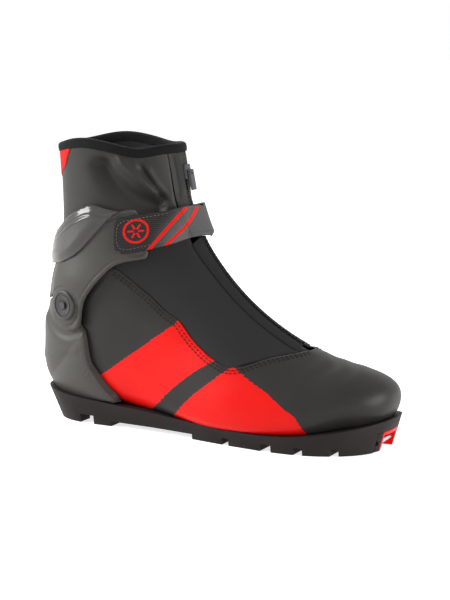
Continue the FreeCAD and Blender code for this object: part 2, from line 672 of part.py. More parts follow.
screws = []
for side, word in ((-1, "lateral"), (1, "medial")):
    screw = turned(f"cap_screw_{word}", [
        ("Sizes.screw_radius", "Sizes.screw_head", "Sizes.cap_wall + Sizes.pin_clearance")])
    screw.Placement = pivot_frame(side)
    screws.append(screw)
group("cap_screws", screws)

# ---- collar ----------------------------------------------------------------
COLLAR_EDGE = 0.984
node("collar", panel(over_t(ankle_high, lambda t: COLLAR_EDGE, (BAND_EDGE, 1 - BAND_EDGE)),
                     COLLAR_OUT, COLLAR_IN))
node("collar_lining", panel(over_t(lambda t: ankle_high(t) + 0.008, lambda t: COLLAR_EDGE - 0.010,
                                   (SEAM_T, 1 - SEAM_T)), LINING_OUT, LINING_IN))
GUSSET_HALF = BAND_EDGE - SEAM_T
node("collar_gusset", panel(over_t(ankle_high, lambda t: COLLAR_EDGE, (-GUSSET_HALF, GUSSET_HALF)),
                            GUSSET_OUT, COVER_IN))
BINDING_OUT = 0.3
node("collar_binding", panel(over_t(lambda t: COLLAR_EDGE + SEAM_S, lambda t: 1.0, (SEAM_T, 1 - SEAM_T)),
                             BINDING_OUT, BINDING_OUT - size("binding_wall")))
PATCH_LOW = both_sides([(0.385, 0.979), (0.430, 0.972), (0.500, 0.950)])
node("heel_patch", panel(over_t(PATCH_LOW, lambda t: COLLAR_EDGE - SEAM_S),
                         COLLAR_OUT + 0.1 + size("patch_wall"), COLLAR_OUT + 0.1))
UPPER_COIL = over_s(lambda s: -ZIP_HALF + 0.002, lambda s: ZIP_HALF - 0.002, (0.712, 0.885))
node("zip_coil_upper", panel(UPPER_COIL, GUSSET_OUT + size("coil_stand"), GUSSET_OUT + 0.1))

# ---- strap -----------------------------------------------------------------
STRAP_LOW = [(0.000, 0.612), (0.040, 0.623), (0.100, 0.655), (0.156, 0.705), (0.206, 0.753)]
STRAP_HIGH = [(0.000, 0.694), (0.046, 0.713), (0.096, 0.745), (0.154, 0.795), (0.206, 0.833)]
CORNER = 0.076            # where the strap folds at each side of the instep, in t
FOLD = size("strap_hinge_gap") / 2 * 0.0045
STRAP_WALL = size("strap_wall")


def strap_edges():
    """Lower and upper edge over the whole strap, the same on both sides."""
    return [[(-t, s) for t, s in reversed(edge[1:])] + edge for edge in (STRAP_LOW, STRAP_HIGH)]


STRAP_EDGES = [curve(edge)[0] for edge in strap_edges()]


def strap_part(first, last, outer, inner):
    region = over_t(*STRAP_EDGES, (first, last), 0.01)
    return panel(region, outer, inner)


BASE = strap_part(-0.206, -CORNER - FOLD, strap_layer(STRAP_WALL), strap_layer(0.0))
BASE = BASE.cut(Part.makeCompound([rivet_hole(*spot) for spot in RIVET_SPOTS]))
node("strap_base", mended(BASE))
for name, span in (("strap_front", (-CORNER + FOLD, CORNER - FOLD)), ("strap_tab", (CORNER + FOLD, 0.206))):
    node(name, strap_part(*span, strap_layer(STRAP_WALL), strap_layer(0.0)))
HOOK_IN = -size("patch_gap") - size("hook_wall")
PATCH_EDGES = [lambda t: STRAP_EDGES[0](t) + 0.008, lambda t: STRAP_EDGES[1](t) - 0.008]
node("hook_patch", panel(over_t(*PATCH_EDGES, (0.163, 0.200)),
                         strap_layer(-size("patch_gap")), strap_layer(HOOK_IN)))
node("loop_patch", panel(over_t(*PATCH_EDGES, (0.165, 0.202)),
                         cuff_layer(CUFF_WALL + size("patch_gap") + size("hook_wall")),
                         cuff_layer(CUFF_WALL + size("patch_gap"))))

# ---- zip slider, pull and bottom stop --------------------------------------
SLIDER_S = 0.860


def zip_frame(s, d):
    """Placement on the zip line: X down the zip, Z outwards."""
    out = normal(s, 0.0)
    down = ACROSS.cross(out)
    return FreeCAD.Placement(skin(s, 0.0, d), FreeCAD.Rotation(down, ACROSS, out, "ZXY"))


def bound_box(name, length, width, height, base):
    """Part::Box bound to the sheet, standing on its base point expression."""
    box = doc.addObject("Part::Box", name)
    box.setExpression("Length", length)
    box.setExpression("Width", width)
    box.setExpression("Height", height)
    for axis, value in zip("xyz", base):
        box.setExpression(f".Placement.Base.{axis}", value)
    return box


def bound_rod(name, radius, length, x, z):
    """Part::Cylinder across the boot, centred on the zip."""
    rod = doc.addObject("Part::Cylinder", name)
    rod.setExpression("Radius", radius)
    rod.setExpression("Height", length)
    rod.Placement = FreeCAD.Placement(Vector(0, 0, 0), FreeCAD.Rotation(Vector(1, 0, 0), -90))
    rod.setExpression(".Placement.Base.x", x)
    rod.setExpression(".Placement.Base.y", f"-({length}) / 2")
    rod.setExpression(".Placement.Base.z", z)
    return rod


def combined(kind, name, first, second):
    """Part::Cut or Part::Fuse of two pieces."""
    result = doc.addObject(f"Part::{kind}", name)
    result.Base = first
    result.Tool = second
    return result


PIN_Z = "Sizes.slider_depth + 0.6 * Sizes.lug_rise"
slab = bound_box("slider_slab", "Sizes.slider_length", "Sizes.slider_width", "Sizes.slider_depth",
                 ("-Sizes.slider_length / 2", "-Sizes.slider_width / 2", "0"))
lug = bound_box("slider_lug", "Sizes.lug_length", "Sizes.lug_width", "Sizes.lug_rise + 0.01",
                ("-Sizes.lug_length / 2", "-Sizes.lug_width / 2", "Sizes.slider_depth - 0.01"))
pin = bound_rod("slider_pin", "Sizes.pull_pin", "Sizes.pull_width", "0", PIN_Z)
zip_slider = combined("Fuse", "zip_slider", combined("Fuse", "slider_body", slab, lug), pin)
plate = bound_box("pull_plate", "Sizes.pull_length", "Sizes.pull_width", "Sizes.pull_wall",
                  ("-Sizes.pull_ear", "-Sizes.pull_width / 2", f"{PIN_Z} - Sizes.pull_wall / 2"))
slot = bound_box("pull_slot", "Sizes.pull_slot",
                 "Sizes.lug_width + 2 * Sizes.layer_gap", "Sizes.pull_wall + 2",
                 ("-Sizes.pull_ear", "-Sizes.lug_width / 2 - Sizes.layer_gap",
                  f"{PIN_Z} - Sizes.pull_wall / 2 - 1"))
eye = bound_rod("pull_eye", "Sizes.pull_pin + Sizes.pin_clearance", "Sizes.pull_width + 2", "0", PIN_Z)
zip_pull = combined("Cut", "zip_pull", combined("Cut", "pull_body", plate, slot), eye)
SLIDER_FRAME = zip_frame(SLIDER_S, GUSSET_OUT + size("coil_stand") + size("slider_lift"))
for piece in (zip_slider, zip_pull):
    piece.Placement = SLIDER_FRAME
    NODES.append(piece)
stop_block = bound_box("stop_block", "Sizes.stop_length", "Sizes.stop_width", "Sizes.stop_rise",
                       ("-Sizes.stop_length / 2", "-Sizes.stop_width / 2", "0"))
STOP_S = 0.3688           # between the edge of the vamp and the ends of the bands
group("zip_stop", [stop_block])
NODES[-1].Placement = zip_frame(STOP_S, BAND_OUT + size("coil_stand") - size("coil_wall"))

# ---- check and write -------------------------------------------------------
doc.recompute()
for item in doc.Objects:
    if {"Invalid", "Error"} & set(item.State):
        raise RuntimeError(f"{item.Label} failed: {item.State}")
for piece in NODES:
    if piece.Shape.isNull() or not piece.Shape.isValid() or not piece.Shape.Solids:
        raise RuntimeError(f"{piece.Label} has no valid shape")
os.makedirs("parts", exist_ok=True)
for piece in NODES:
    piece.Shape.exportStep(os.path.join("parts", f"{piece.Label}.step"))
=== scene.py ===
"""Looks of a cross country ski boot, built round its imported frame.

Shells and soft pieces follow the skin that the frame follows: s runs from the
toe (0) to the rim of the collar (1), t round each ring (0 instep, 0.25 outer
side, 0.5 sole or heel, 0.75 inner side), and d is a depth in millimetres,
positive outwards. Skin points are worked out in millimetres and become metres,
the scene's unit, when a mesh is made.
"""
import json
import math
import bpy
import bmesh
import numpy as np
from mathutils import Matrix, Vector
from mathutils.kdtree import KDTree

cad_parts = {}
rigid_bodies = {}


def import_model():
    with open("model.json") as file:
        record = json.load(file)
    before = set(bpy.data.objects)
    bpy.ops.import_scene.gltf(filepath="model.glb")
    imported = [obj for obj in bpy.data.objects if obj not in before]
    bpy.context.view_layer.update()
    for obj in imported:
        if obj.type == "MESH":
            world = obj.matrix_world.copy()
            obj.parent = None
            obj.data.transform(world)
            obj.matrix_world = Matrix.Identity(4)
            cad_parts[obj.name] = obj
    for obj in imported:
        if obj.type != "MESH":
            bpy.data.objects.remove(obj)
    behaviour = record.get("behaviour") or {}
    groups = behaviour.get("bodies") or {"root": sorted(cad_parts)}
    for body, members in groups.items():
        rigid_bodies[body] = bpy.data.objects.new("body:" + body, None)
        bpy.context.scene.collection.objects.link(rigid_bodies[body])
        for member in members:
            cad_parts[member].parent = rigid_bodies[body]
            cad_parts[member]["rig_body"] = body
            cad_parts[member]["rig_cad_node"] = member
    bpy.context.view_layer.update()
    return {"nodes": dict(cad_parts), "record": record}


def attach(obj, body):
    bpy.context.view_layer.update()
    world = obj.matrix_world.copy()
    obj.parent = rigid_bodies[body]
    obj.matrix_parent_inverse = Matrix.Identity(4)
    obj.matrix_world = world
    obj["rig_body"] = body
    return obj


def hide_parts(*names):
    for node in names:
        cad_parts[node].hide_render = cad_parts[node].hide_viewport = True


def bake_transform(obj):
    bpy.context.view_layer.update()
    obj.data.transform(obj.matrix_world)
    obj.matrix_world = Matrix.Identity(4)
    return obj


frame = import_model()
MM = 0.001

# ---- the skin ---------------------------------------------------------------
# each ring: front or top x, z; back or bottom x, z; half widths at top, middle
# and bottom; how far it sits to the inner side
STATIONS = np.array([
    (146, 26, 141, 22, 8, 9, 8, 4), (148, 31, 137, 20, 15, 17, 16, 4),
    (149, 42, 124, 16, 23, 28, 27, 4), (142, 52, 107, 13, 29, 37, 36, 3),
    (125, 59, 89, 10, 30, 44, 46, 1), (102, 65, 65, 9, 29, 47, 49, -1),
    (76, 75, 39, 8, 26, 47, 49, -2), (49, 90, 11, 9, 24, 45, 46, -2),
    (24, 109, -19, 12, 23, 41, 40, -1), (4, 130, -55, 15, 23, 38, 35, 0),
    (-9, 149, -95, 17, 25, 37, 33, 0), (-16, 166, -129, 26, 28, 37, 32, 0),
    (-21, 180, -146, 58, 31, 37, 32, 0), (-24, 192, -143, 96, 33, 37, 33, 0),
    (-26, 202, -136, 131, 34, 37, 35, 0), (-28, 211, -132, 170, 35, 37, 36, 0),
    (-30, 220, -134, 217, 36, 37, 37, 0)], float)


def spline_bends(values):
    """Second derivatives of the natural cubic spline through evenly spaced rows."""
    system, right = np.eye(len(values)), np.zeros_like(values)
    for i in range(1, len(values) - 1):
        system[i, i - 1:i + 2] = 1, 4, 1
    right[1:-1] = 6 * (values[:-2] - 2 * values[1:-1] + values[2:])
    return np.linalg.solve(system, right)


BENDS = spline_bends(STATIONS)


def ring_at(s):
    """The stations' values at s, on the spline through them."""
    place = np.clip(s, 0, 1) * (len(STATIONS) - 1)
    i = np.minimum(place.astype(int), len(STATIONS) - 2)
    f = (place - i)[..., None]
    return (STATIONS[i] * (1 - f) + STATIONS[i + 1] * f
            + ((1 - f)**3 - (1 - f)) / 6 * BENDS[i] + (f**3 - f) / 6 * BENDS[i + 1])


def skin(s, t, d=0.0):
    """Points of the skin, in millimetres."""
    s, t, d = np.broadcast_arrays(np.asarray(s, float), np.asarray(t, float), d)
    xf, zf, xb, zb, top, mid, low, shift = np.moveaxis(ring_at(s), -1, 0)
    c, sn = np.cos(2 * np.pi * t), np.sin(2 * np.pi * t)
    foot = np.clip((0.70 - s) / 0.2, 0, 1)
    power = np.where(c > 0, 2 + 0.25 * foot, 2 + 4 * foot)
    reach = (np.abs(c)**power + np.abs(sn)**power)**(-1 / power)
    c, sn = c * reach, sn * reach
    width = mid + (top - low) / 2 * c + ((top + low) / 2 - mid) * c * c + d
    along = c * (0.5 + d / np.hypot(xf - xb, zf - zb))
    return np.stack([(xf + xb) / 2 + along * (xf - xb), shift - sn * width,
                     (zf + zb) / 2 + along * (zf - zb)], -1)


def outward(s, t, d=0.0):
    """Unit normals of the skin."""
    across = skin(s + 1e-3, t, d) - skin(s - 1e-3, t, d)
    around = skin(s, t + 1e-3, d) - skin(s, t - 1e-3, d)
    n = np.cross(across, around)
    return n / np.linalg.norm(n, axis=-1, keepdims=True)


def smooth(x):
    """Rises softly from 0 to 1 while x does."""
    x = np.clip(x, 0, 1)
    return x * x * (3 - 2 * x)


def bump(x):
    """A soft hill of height 1 and half width 1."""
    return np.exp(-np.square(x) * 2.2)


def table(points):
    """Smooth function through (x, y) points that never overshoots them."""
    xs, ys = np.array(points, float).T
    slopes = np.diff(ys) / np.diff(xs)
    tangents = np.concatenate([slopes[:1], np.zeros(len(xs) - 2), slopes[-1:]])
    for i in range(1, len(xs) - 1):
        a, b = slopes[i - 1], slopes[i]
        tangents[i] = 0 if a * b <= 0 else 2 * a * b / (a + b)

    def value(x):
        x = np.clip(x, xs[0], xs[-1])
        i = np.clip(np.searchsorted(xs, x, side="right") - 1, 0, len(xs) - 2)
        w = xs[i + 1] - xs[i]
        f = (x - xs[i]) / w
        return ((1 + 2 * f) * (1 - f)**2 * ys[i] + f * f * (3 - 2 * f) * ys[i + 1]
                + f * (1 - f)**2 * w * tangents[i] + f * f * (f - 1) * w * tangents[i + 1])

    return value


# ---- lines on the skin ------------------------------------------------------
def smooth_line(points, fine=10):
    """Catmull-Rom line through (s, t) points; two points stay a straight line."""
    p = np.array(points, float)
    if len(p) == 2:
        return p[0] + (p[1] - p[0]) * np.linspace(0, 1, 6 * fine)[:, None]
    p = np.vstack([2 * p[0] - p[1], p, 2 * p[-1] - p[-2]])
    f = np.linspace(0, 1, fine, endpoint=False)[:, None]
    spans = [0.5 * (2 * b + (c - a) * f + (2 * a - 5 * b + 4 * c - d) * f**2
                    + (3 * b - a - 3 * c + d) * f**3)
             for a, b, c, d in zip(p, p[1:], p[2:], p[3:])]
    return np.vstack(spans + [p[-2:-1]])


def flipped(points):
    """The same line on the inner side, the other way round."""
    return [(s, -t) for s, t in reversed(points)]


def flipped_round(points):
    """The same line on the other side of the back."""
    return [(s, 1 - t) for s, t in points]


def on_side(points, side):
    """The same line on the outer side (1) or the inner side (-1)."""
    return [(s, side * t) for s, t in points]


def at_height(height, ts, raised=0.0):
    """Line that follows a function of t, raised along s."""
    return [(float(height(t)) + raised, float(t)) for t in ts]


def round_back(points):
    """A line from one side that runs on round the back to the other."""
    return points + flipped_round(points[:-1])[::-1]


def loop(*edges):
    """Closed (s, t) outline: each edge is smooth, with corners between edges."""
    outline = np.vstack([smooth_line(edge) for edge in edges])
    keep = np.linalg.norm(outline - np.roll(outline, 1, 0), axis=1) > 1e-6
    return outline[keep]


def resampled(points, spacing):
    """The line again, with points about spacing apart, and the distance along it."""
    steps = np.linalg.norm(np.diff(points, axis=0), axis=1)
    along = np.concatenate([[0], np.cumsum(steps)])
    places = np.linspace(0, along[-1], max(2, int(along[-1] / spacing) + 1))
    return np.stack([np.interp(places, along, column) for column in points.T], -1), places


def near(points, line):
    """Distance from each point to a line of points, and which one is nearest."""
    tree = KDTree(len(line))
    for i, p in enumerate(line):
        tree.insert(p, i)
    tree.balance()
    found = [tree.find(p) for p in points]
    return np.array([f[2] for f in found]), np.array([f[1] for f in found], int)


def within(outline, s, t):
    """Whether each (s, t) lies inside a closed outline."""
    inside = np.zeros(s.shape, bool)
    for (s0, t0), (s1, t1) in zip(outline, np.roll(outline, -1, 0)):
        if t0 != t1:
            inside ^= ((t0 > t) != (t1 > t)) & (s < (s1 - s0) * (t - t0) / (t1 - t0) + s0)
    return inside


def depth_into(outline, s, t, points):
    """Distance in from a closed outline in millimetres, negative outside."""
    closed = np.vstack([outline, outline[:1]])
    line, _ = resampled(skin(*closed.T), 0.4)
    away, _ = near(points, line)
    return np.where(within(outline, s, t), away, -away)


def beside(points, line_st, spacing=0.3):
    """Distance from a line on the skin, and how far along it, in millimetres."""
    line, places = resampled(skin(*smooth_line(line_st).T), spacing)
    away, which = near(points, line)
    return away, places[which]


# ---- meshes -----------------------------------------------------------------
def make_object(name, points, faces, marks=None, sharp=40):
    """Mesh object from points in millimetres, with marks as point attributes."""
    mesh = bpy.data.meshes.new(name)
    mesh.from_pydata((np.asarray(points) * MM).tolist(), [], [list(map(int, f)) for f in faces])
    for mark, values in (marks or {}).items():
        mesh.attributes.new(mark, "FLOAT", "POINT").data.foreach_set(
            "value", np.asarray(values, np.float32))
    mesh.validate()
    mesh.shade_smooth()
    mesh.set_sharp_from_angle(angle=math.radians(sharp))
    piece = bpy.data.objects.new(name, mesh)
    bpy.context.scene.collection.objects.link(piece)
    return piece


def finish_piece(piece, finish, body, slot, *nodes):
    """Gives a piece its finish and its body, and hides the frame nodes it stands for; slot is not
    used.
    """
    piece.data.materials.clear()
    piece.data.materials.append(finish)
    if body:
        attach(piece, body)
    if nodes:
        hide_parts(*nodes)
    return piece


def lengths(outline):
    """Longest run of the skin along s and along t over an outline's box."""
    (s0, t0), (s1, t1) = outline.min(0), outline.max(0)
    s, t = np.meshgrid(np.linspace(s0, s1, 60), np.linspace(t0, t1, 60), indexing="ij")
    p = skin(s, t)
    down = np.linalg.norm(np.diff(p, axis=0), axis=-1).sum(0).max()
    round_ = np.linalg.norm(np.diff(p, axis=1), axis=-1).sum(1).max()
    return down, round_


def cut_panel(name, outline, outer, inner, cell=1.4, roll=0.9, relief=None, marks=None,
              settle=None):
    """Solid piece between two depths, cut to an outline, with rolled edges.

    outer and inner are millimetres or functions of (s, t) that give them;
    relief(s, t, points, depth in) raises the outside; marks names functions of
    the same values that become point attributes; settle moves finished points.
    """
    (s0, t0), (s1, t1) = outline.min(0), outline.max(0)
    down, round_ = lengths(outline)
    rows, columns = int(down / cell) + 3, int(round_ / cell) + 3
    s, t = np.meshgrid(np.linspace(s0 - (s1 - s0) / rows, s1 + (s1 - s0) / rows, rows),
                       np.linspace(t0 - (t1 - t0) / columns, t1 + (t1 - t0) / columns, columns),
                       indexing="ij")
    s, t = s.ravel(), t.ravel()
    points = skin(s, t)
    inwards = depth_into(outline, s, t, points)
    i = np.arange(rows * columns).reshape(rows, columns)
    quads = np.stack([i[:-1, :-1], i[:-1, 1:], i[1:, 1:], i[1:, :-1]], -1).reshape(-1, 4)
    depths = inwards[quads]
    quads = quads[(depths.min(1) > -0.75 * cell) & (depths.max(1) > 0.2 * cell)]
    used, quads = np.unique(quads, return_inverse=True)
    quads = quads.reshape(-1, 4)
    s, t, inwards = s[used], t[used], inwards[used]
    edges = np.stack([quads, np.roll(quads, -1, 1)], -1).reshape(-1, 2)
    keys = np.sort(edges, 1)
    _, first, count = np.unique(keys, axis=0, return_index=True, return_counts=True)
    border = edges[first[count == 1]]
    rim = np.unique(border)
    closed = np.vstack([outline, outline[:1]])
    line, _ = resampled(np.hstack([skin(*closed.T), closed]), 0.3)
    _, which = near(skin(s[rim], t[rim]), line[:, :3])
    s[rim], t[rim], inwards[rim] = line[which, 3], line[which, 4], 0
    points = skin(s, t)
    rise = relief(s, t, points, inwards) if relief else 0
    edge = 1 - np.clip(inwards / roll, 0, 1)
    top, under = (depth(s, t) if callable(depth) else depth for depth in (outer, inner))
    outside = skin(s, t, top + rise - roll * (1 - np.sqrt(1 - edge**2)))
    inside = skin(s, t, under)
    if settle:
        outside, inside = settle(outside, s, t), settle(inside, s, t)
    n = len(s)
    sides = np.stack([border[:, 1], border[:, 0], border[:, 0] + n, border[:, 1] + n], 1)
    faces = np.vstack([quads, quads[:, ::-1] + n, sides])
    made = {"inwards": np.tile(inwards, 2)}
    made.update({mark: np.tile(value(s, t, points, inwards), 2)
                 for mark, value in (marks or {}).items()})
    piece = make_object(name, np.vstack([outside, inside]), faces, made)
    turn_out(piece)
    return piece


def turn_out(piece):
    """Makes the faces of a closed mesh look outwards."""
    work = bmesh.new()
    work.from_mesh(piece.data)
    bmesh.ops.remove_doubles(work, verts=work.verts, dist=2e-6)
    bmesh.ops.recalc_face_normals(work, faces=work.faces)
    work.to_mesh(piece.data)
    work.free()


def tube(name, line, radius, sides=8, flat=1.0, normals=None, closed=False):
    """Round or flattened strip that follows a line, in millimetres."""
    line = np.asarray(line, float)
    if closed:
        ahead = np.roll(line, -1, 0) - np.roll(line, 1, 0)
    else:
        ahead = np.gradient(line, axis=0)
    ahead /= np.linalg.norm(ahead, axis=1, keepdims=True)
    up = np.tile([0.0, 0.0, 1.0], (len(line), 1)) if normals is None else normals
    side = np.cross(ahead, up)
    side /= np.linalg.norm(side, axis=1, keepdims=True)
    up = np.cross(side, ahead)
    a = np.arange(sides) * 2 * np.pi / sides
    rings = (line[:, None] + radius * np.cos(a)[None, :, None] * side[:, None]
             + radius * flat * np.sin(a)[None, :, None] * up[:, None])
    faces = grid_faces(len(line), sides, closed, True)
    if not closed:
        faces += [tuple(range(sides))[::-1],
                  tuple((len(line) - 1) * sides + k for k in range(sides))]
    return make_object(name, rings.reshape(-1, 3), faces, sharp=60)


def grid_faces(rows, columns, wrap_rows, wrap_columns):
    """Four-sided faces over rows and columns of points, closed on themselves or not."""
    faces = []
    for i in range(rows - (0 if wrap_rows else 1)):
        for k in range(columns - (0 if wrap_columns else 1)):
            a, b = (i + 1) % rows, (k + 1) % columns
            faces.append((i * columns + k, i * columns + b, a * columns + b, a * columns + k))
    return faces


# along one stitch: how far it stands up, in diameters, and how thick it is, in radii
THREAD_RISE = np.array([-0.5, 0.05, 0.25, 0.25, 0.05, -0.5])
THREAD_GIRTH = np.array([0.5, 0.9, 1, 1, 0.9, 0.5])


def stitches(name, line_st, d, length=2.6, gap=1.0, radius=0.32, sides=6):
    """A row of thread stitches along a line on the skin."""
    st = smooth_line(line_st)
    both, along = resampled(np.hstack([skin(*st.T), st]), 0.2)
    points, faces = [], []
    start, steps = gap, len(THREAD_RISE)
    while start + length < along[-1]:
        places = np.linspace(start, start + length, steps)
        s, t = (np.interp(places, along, both[:, k]) for k in (3, 4))
        middle = skin(s, t, (d(s, t) if callable(d) else d) + THREAD_RISE * radius * 2)
        out = outward(s, t)
        ahead = np.gradient(middle, axis=0)
        ahead /= np.linalg.norm(ahead, axis=1, keepdims=True)
        side = np.cross(ahead, out)
        a = np.arange(sides) * 2 * np.pi / sides
        size = radius * THREAD_GIRTH[:, None, None]
        ring = (middle[:, None] + size * (np.cos(a)[None, :, None] * side[:, None]
                                          + np.sin(a)[None, :, None] * out[:, None]))
        base = len(points) * steps * sides
        points.append(ring.reshape(-1, 3))
        faces += [tuple(base + v for v in f) for f in grid_faces(steps, sides, False, True)]
        start += length + gap
    return make_object(name, np.vstack(points), faces, sharp=80)


def rounded_copy(node, width, name, segments=2):
    """Copy of a frame node with its sharp edges rounded."""
    piece = frame["nodes"][node].copy()
    piece.data = piece.data.copy()
    piece.name = name
    piece.parent = None
    piece.hide_render = piece.hide_viewport = False
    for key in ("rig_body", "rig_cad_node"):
        if key in piece:
            del piece[key]
    bpy.context.scene.collection.objects.link(piece)
    work = bmesh.new()
    work.from_mesh(piece.data)
    bmesh.ops.remove_doubles(work, verts=work.verts, dist=1e-6)
    bmesh.ops.dissolve_limit(work, angle_limit=math.radians(3), verts=work.verts,
                             edges=work.edges)
    sharp = [e for e in work.edges if len(e.link_faces) == 2
             and e.calc_face_angle() > math.radians(28)]
    bmesh.ops.bevel(work, geom=sharp, offset=width * MM, offset_type="OFFSET",
                    segments=segments, profile=0.5, affect="EDGES", clamp_overlap=True)
    bmesh.ops.triangulate(work, faces=[f for f in work.faces if len(f.verts) > 4])
    work.to_mesh(piece.data)
    work.free()
    piece.data.shade_smooth()
    piece.data.set_sharp_from_angle(angle=math.radians(35))
    return piece


def moved(line_st, offset):
    """The line again, offset to its left over the skin, in millimetres."""
    line = smooth_line(line_st)
    s, t = line.T
    point = skin(s, t)
    by_s = (skin(s + 1e-3, t) - point) / 1e-3
    by_t = (skin(s, t + 1e-3) - point) / 1e-3
    ahead = np.gradient(point, axis=0)
    ahead /= np.linalg.norm(ahead, axis=1, keepdims=True)
    side = np.cross(outward(s, t), ahead)
    steps = [np.linalg.lstsq(np.stack(pair, 1), want * offset, rcond=None)[0]
             for *pair, want in zip(by_s, by_t, side)]
    return [tuple(p) for p in (line + steps)[::6]]


def turned(name, base, axis, profile, sides=48):
    """Round piece from (radius, height) pairs about an axis, in millimetres."""
    axis = np.asarray(axis, float) / np.linalg.norm(axis)
    across = np.cross(axis, (0.0, 0.0, 1.0))
    across /= np.linalg.norm(across)
    third = np.cross(axis, across)
    a = np.arange(sides) * 2 * np.pi / sides
    ring = np.cos(a)[:, None] * across + np.sin(a)[:, None] * third
    points = np.vstack([base + axis * h + ring * r for r, h in profile])
    faces = grid_faces(len(profile), sides, False, True)
    faces += [tuple(range(sides)), tuple((len(profile) - 1) * sides + k for k in range(sides))]
    piece = make_object(name, points, faces, sharp=32)
    turn_out(piece)
    return piece


def joined(name, pieces):
    """Several meshes as one piece."""
    work = bmesh.new()
    for piece in pieces:
        work.from_mesh(piece.data)
        bpy.data.objects.remove(piece)
    mesh = bpy.data.meshes.new(name)
    work.to_mesh(mesh)
    work.free()
    whole = bpy.data.objects.new(name, mesh)
    bpy.context.scene.collection.objects.link(whole)
    return whole


# ---- finishes ---------------------------------------------------------------
class Signal:
    """A value or a shader among nodes; numbers take part in sums."""

    def __init__(self, nodes, out):
        self.nodes, self.out = nodes, out

    def math(self, operation, *values):
        return self.nodes.node("Math", {"operation": operation},
                               dict(enumerate((self,) + values)))

    def __add__(self, other):
        return self.math("ADD", other)

    def __mul__(self, other):
        return self.math("MULTIPLY", other)

    def __sub__(self, other):
        return self.math("SUBTRACT", other)

    def __rsub__(self, other):
        return self.nodes.node("Math", {"operation": "SUBTRACT"}, {0: other, 1: self})

    __radd__, __rmul__ = __add__, __mul__

    def between(self, low, high):
        """0 below low, 1 above high."""
        return self.nodes.node("MapRange", {"interpolation_type": "SMOOTHSTEP"},
                               {0: self, 1: low, 2: high, 3: 0.0, 4: 1.0})


class Nodes:
    """The nodes of one finish, or of the air in the room."""

    def __init__(self, tree):
        self.tree = tree

    def node(self, kind, settings=None, values=None, output=0):
        made = self.tree.nodes.new("ShaderNode" + kind)
        for key, value in (settings or {}).items():
            setattr(made, key, value)
        for key, value in (values or {}).items():
            self.connect(made.inputs[key], value)
        return Signal(self, made.outputs[output])

    def connect(self, socket, value):
        if isinstance(value, Signal):
            self.tree.links.new(value.out, socket)
        else:
            socket.default_value = value

    def seen(self):
        """1 for rays from the camera, off gloss or through glass, 0 for the light that falls."""
        camera_ray, glossy, through = (self.node("LightPath", output=f"Is {kind} Ray")
                                       for kind in ("Camera", "Glossy", "Transmission"))
        return camera_ray.math("MAXIMUM", glossy).math("MAXIMUM", through)


def paint(red, green, blue):
    """Linear colour from the 0 to 255 values seen on a screen."""
    parts = [v / 255 for v in (red, green, blue)]
    return tuple(v / 12.92 if v < 0.04045 else ((v + 0.055) / 1.055)**2.4 for v in parts) + (1.0,)


CLOTH_GLOSS = 0.16        # specular level of fabric and matte plastic
BANDS = 3.18              # bands per unit of length in a wave texture of scale 1


class Finish(Nodes):
    """A material with one Principled shader."""

    def __init__(self, name, colour, roughness, **shader):
        shader = {"Specular_IOR_Level": CLOTH_GLOSS, **shader}
        self.material = bpy.data.materials.new(name)
        self.material.use_nodes = True
        super().__init__(self.material.node_tree)
        self.shader = self.tree.nodes["Principled BSDF"]
        self.give("Base Color", colour)
        self.give("Roughness", roughness)
        for socket, value in shader.items():
            self.give(socket.replace("_", " "), value)

    def give(self, socket, value):
        self.connect(self.shader.inputs[socket], value)

    def place(self):
        return self.node("TexCoord", output=3)

    def mark(self, name):
        return self.node("Attribute", {"attribute_name": name}, output=2)

    def noise(self, size, detail=2.0):
        """Cloudy noise with features about size millimetres across, near 0.5."""
        return self.node("TexNoise", {}, {"Vector": self.place(), "Scale": 1000 / size,
                                          "Detail": detail})

    def cloud(self):
        """Slow noise, in patches a few centimetres wide."""
        return self.noise(22, 3.0)

    def cells(self, size):
        """Rounded cells about size millimetres across."""
        return self.node("TexVoronoi", {}, {"Vector": self.place(), "Scale": 1000 / size})

    def ribs(self, size, direction):
        """Ribs size millimetres apart along X, Y, Z or the diagonal."""
        return self.node("TexWave", {"wave_type": "BANDS", "bands_direction": direction},
                         {"Vector": self.place(), "Scale": 1000 / size / BANDS, "Distortion": 0.4})

    def blend(self, factor, first, second):
        return self.node("Mix", {"data_type": "RGBA"}, {0: factor, 6: first, 7: second}, 2)

    def raised(self, height, millimetres, strength=1.0):
        self.give("Normal", self.node("Bump", {}, {"Height": height, "Strength": strength,
                                                   "Distance": millimetres * MM}))


def shaded(colour, share):
    """A darker or lighter version of a colour."""
    return tuple(min(1.0, v * share) for v in colour[:3]) + (1.0,)


def worn(finish, colour, roughness, spread=0.12):
    """Slow cloudy changes of colour and gloss, as on a handled surface."""
    cloud = finish.cloud()
    finish.give("Base Color", finish.blend(cloud, shaded(colour, 1 - spread),
                                           shaded(colour, 1 + spread)))
    finish.give("Roughness", (cloud - 0.5) * 0.22 + roughness)


def grained(name, colour, roughness, size=1.1, height=0.10, **shader):
    """Coated fabric or synthetic leather with a fine grain."""
    finish = Finish(name, colour, roughness, **shader)
    worn(finish, colour, roughness)
    finish.raised(finish.cells(size) * 0.8 + finish.noise(size * 0.5) * 0.5, height, 0.55)
    return finish.material


def moulded(name, colour, roughness, height=0.05, size=0.7, **shader):
    """Moulded plastic or rubber with a spark-eroded texture."""
    finish = Finish(name, colour, roughness, **shader)
    worn(finish, colour, roughness, 0.07)
    finish.raised(finish.noise(size, 3.0), height, 0.5)
    return finish.material


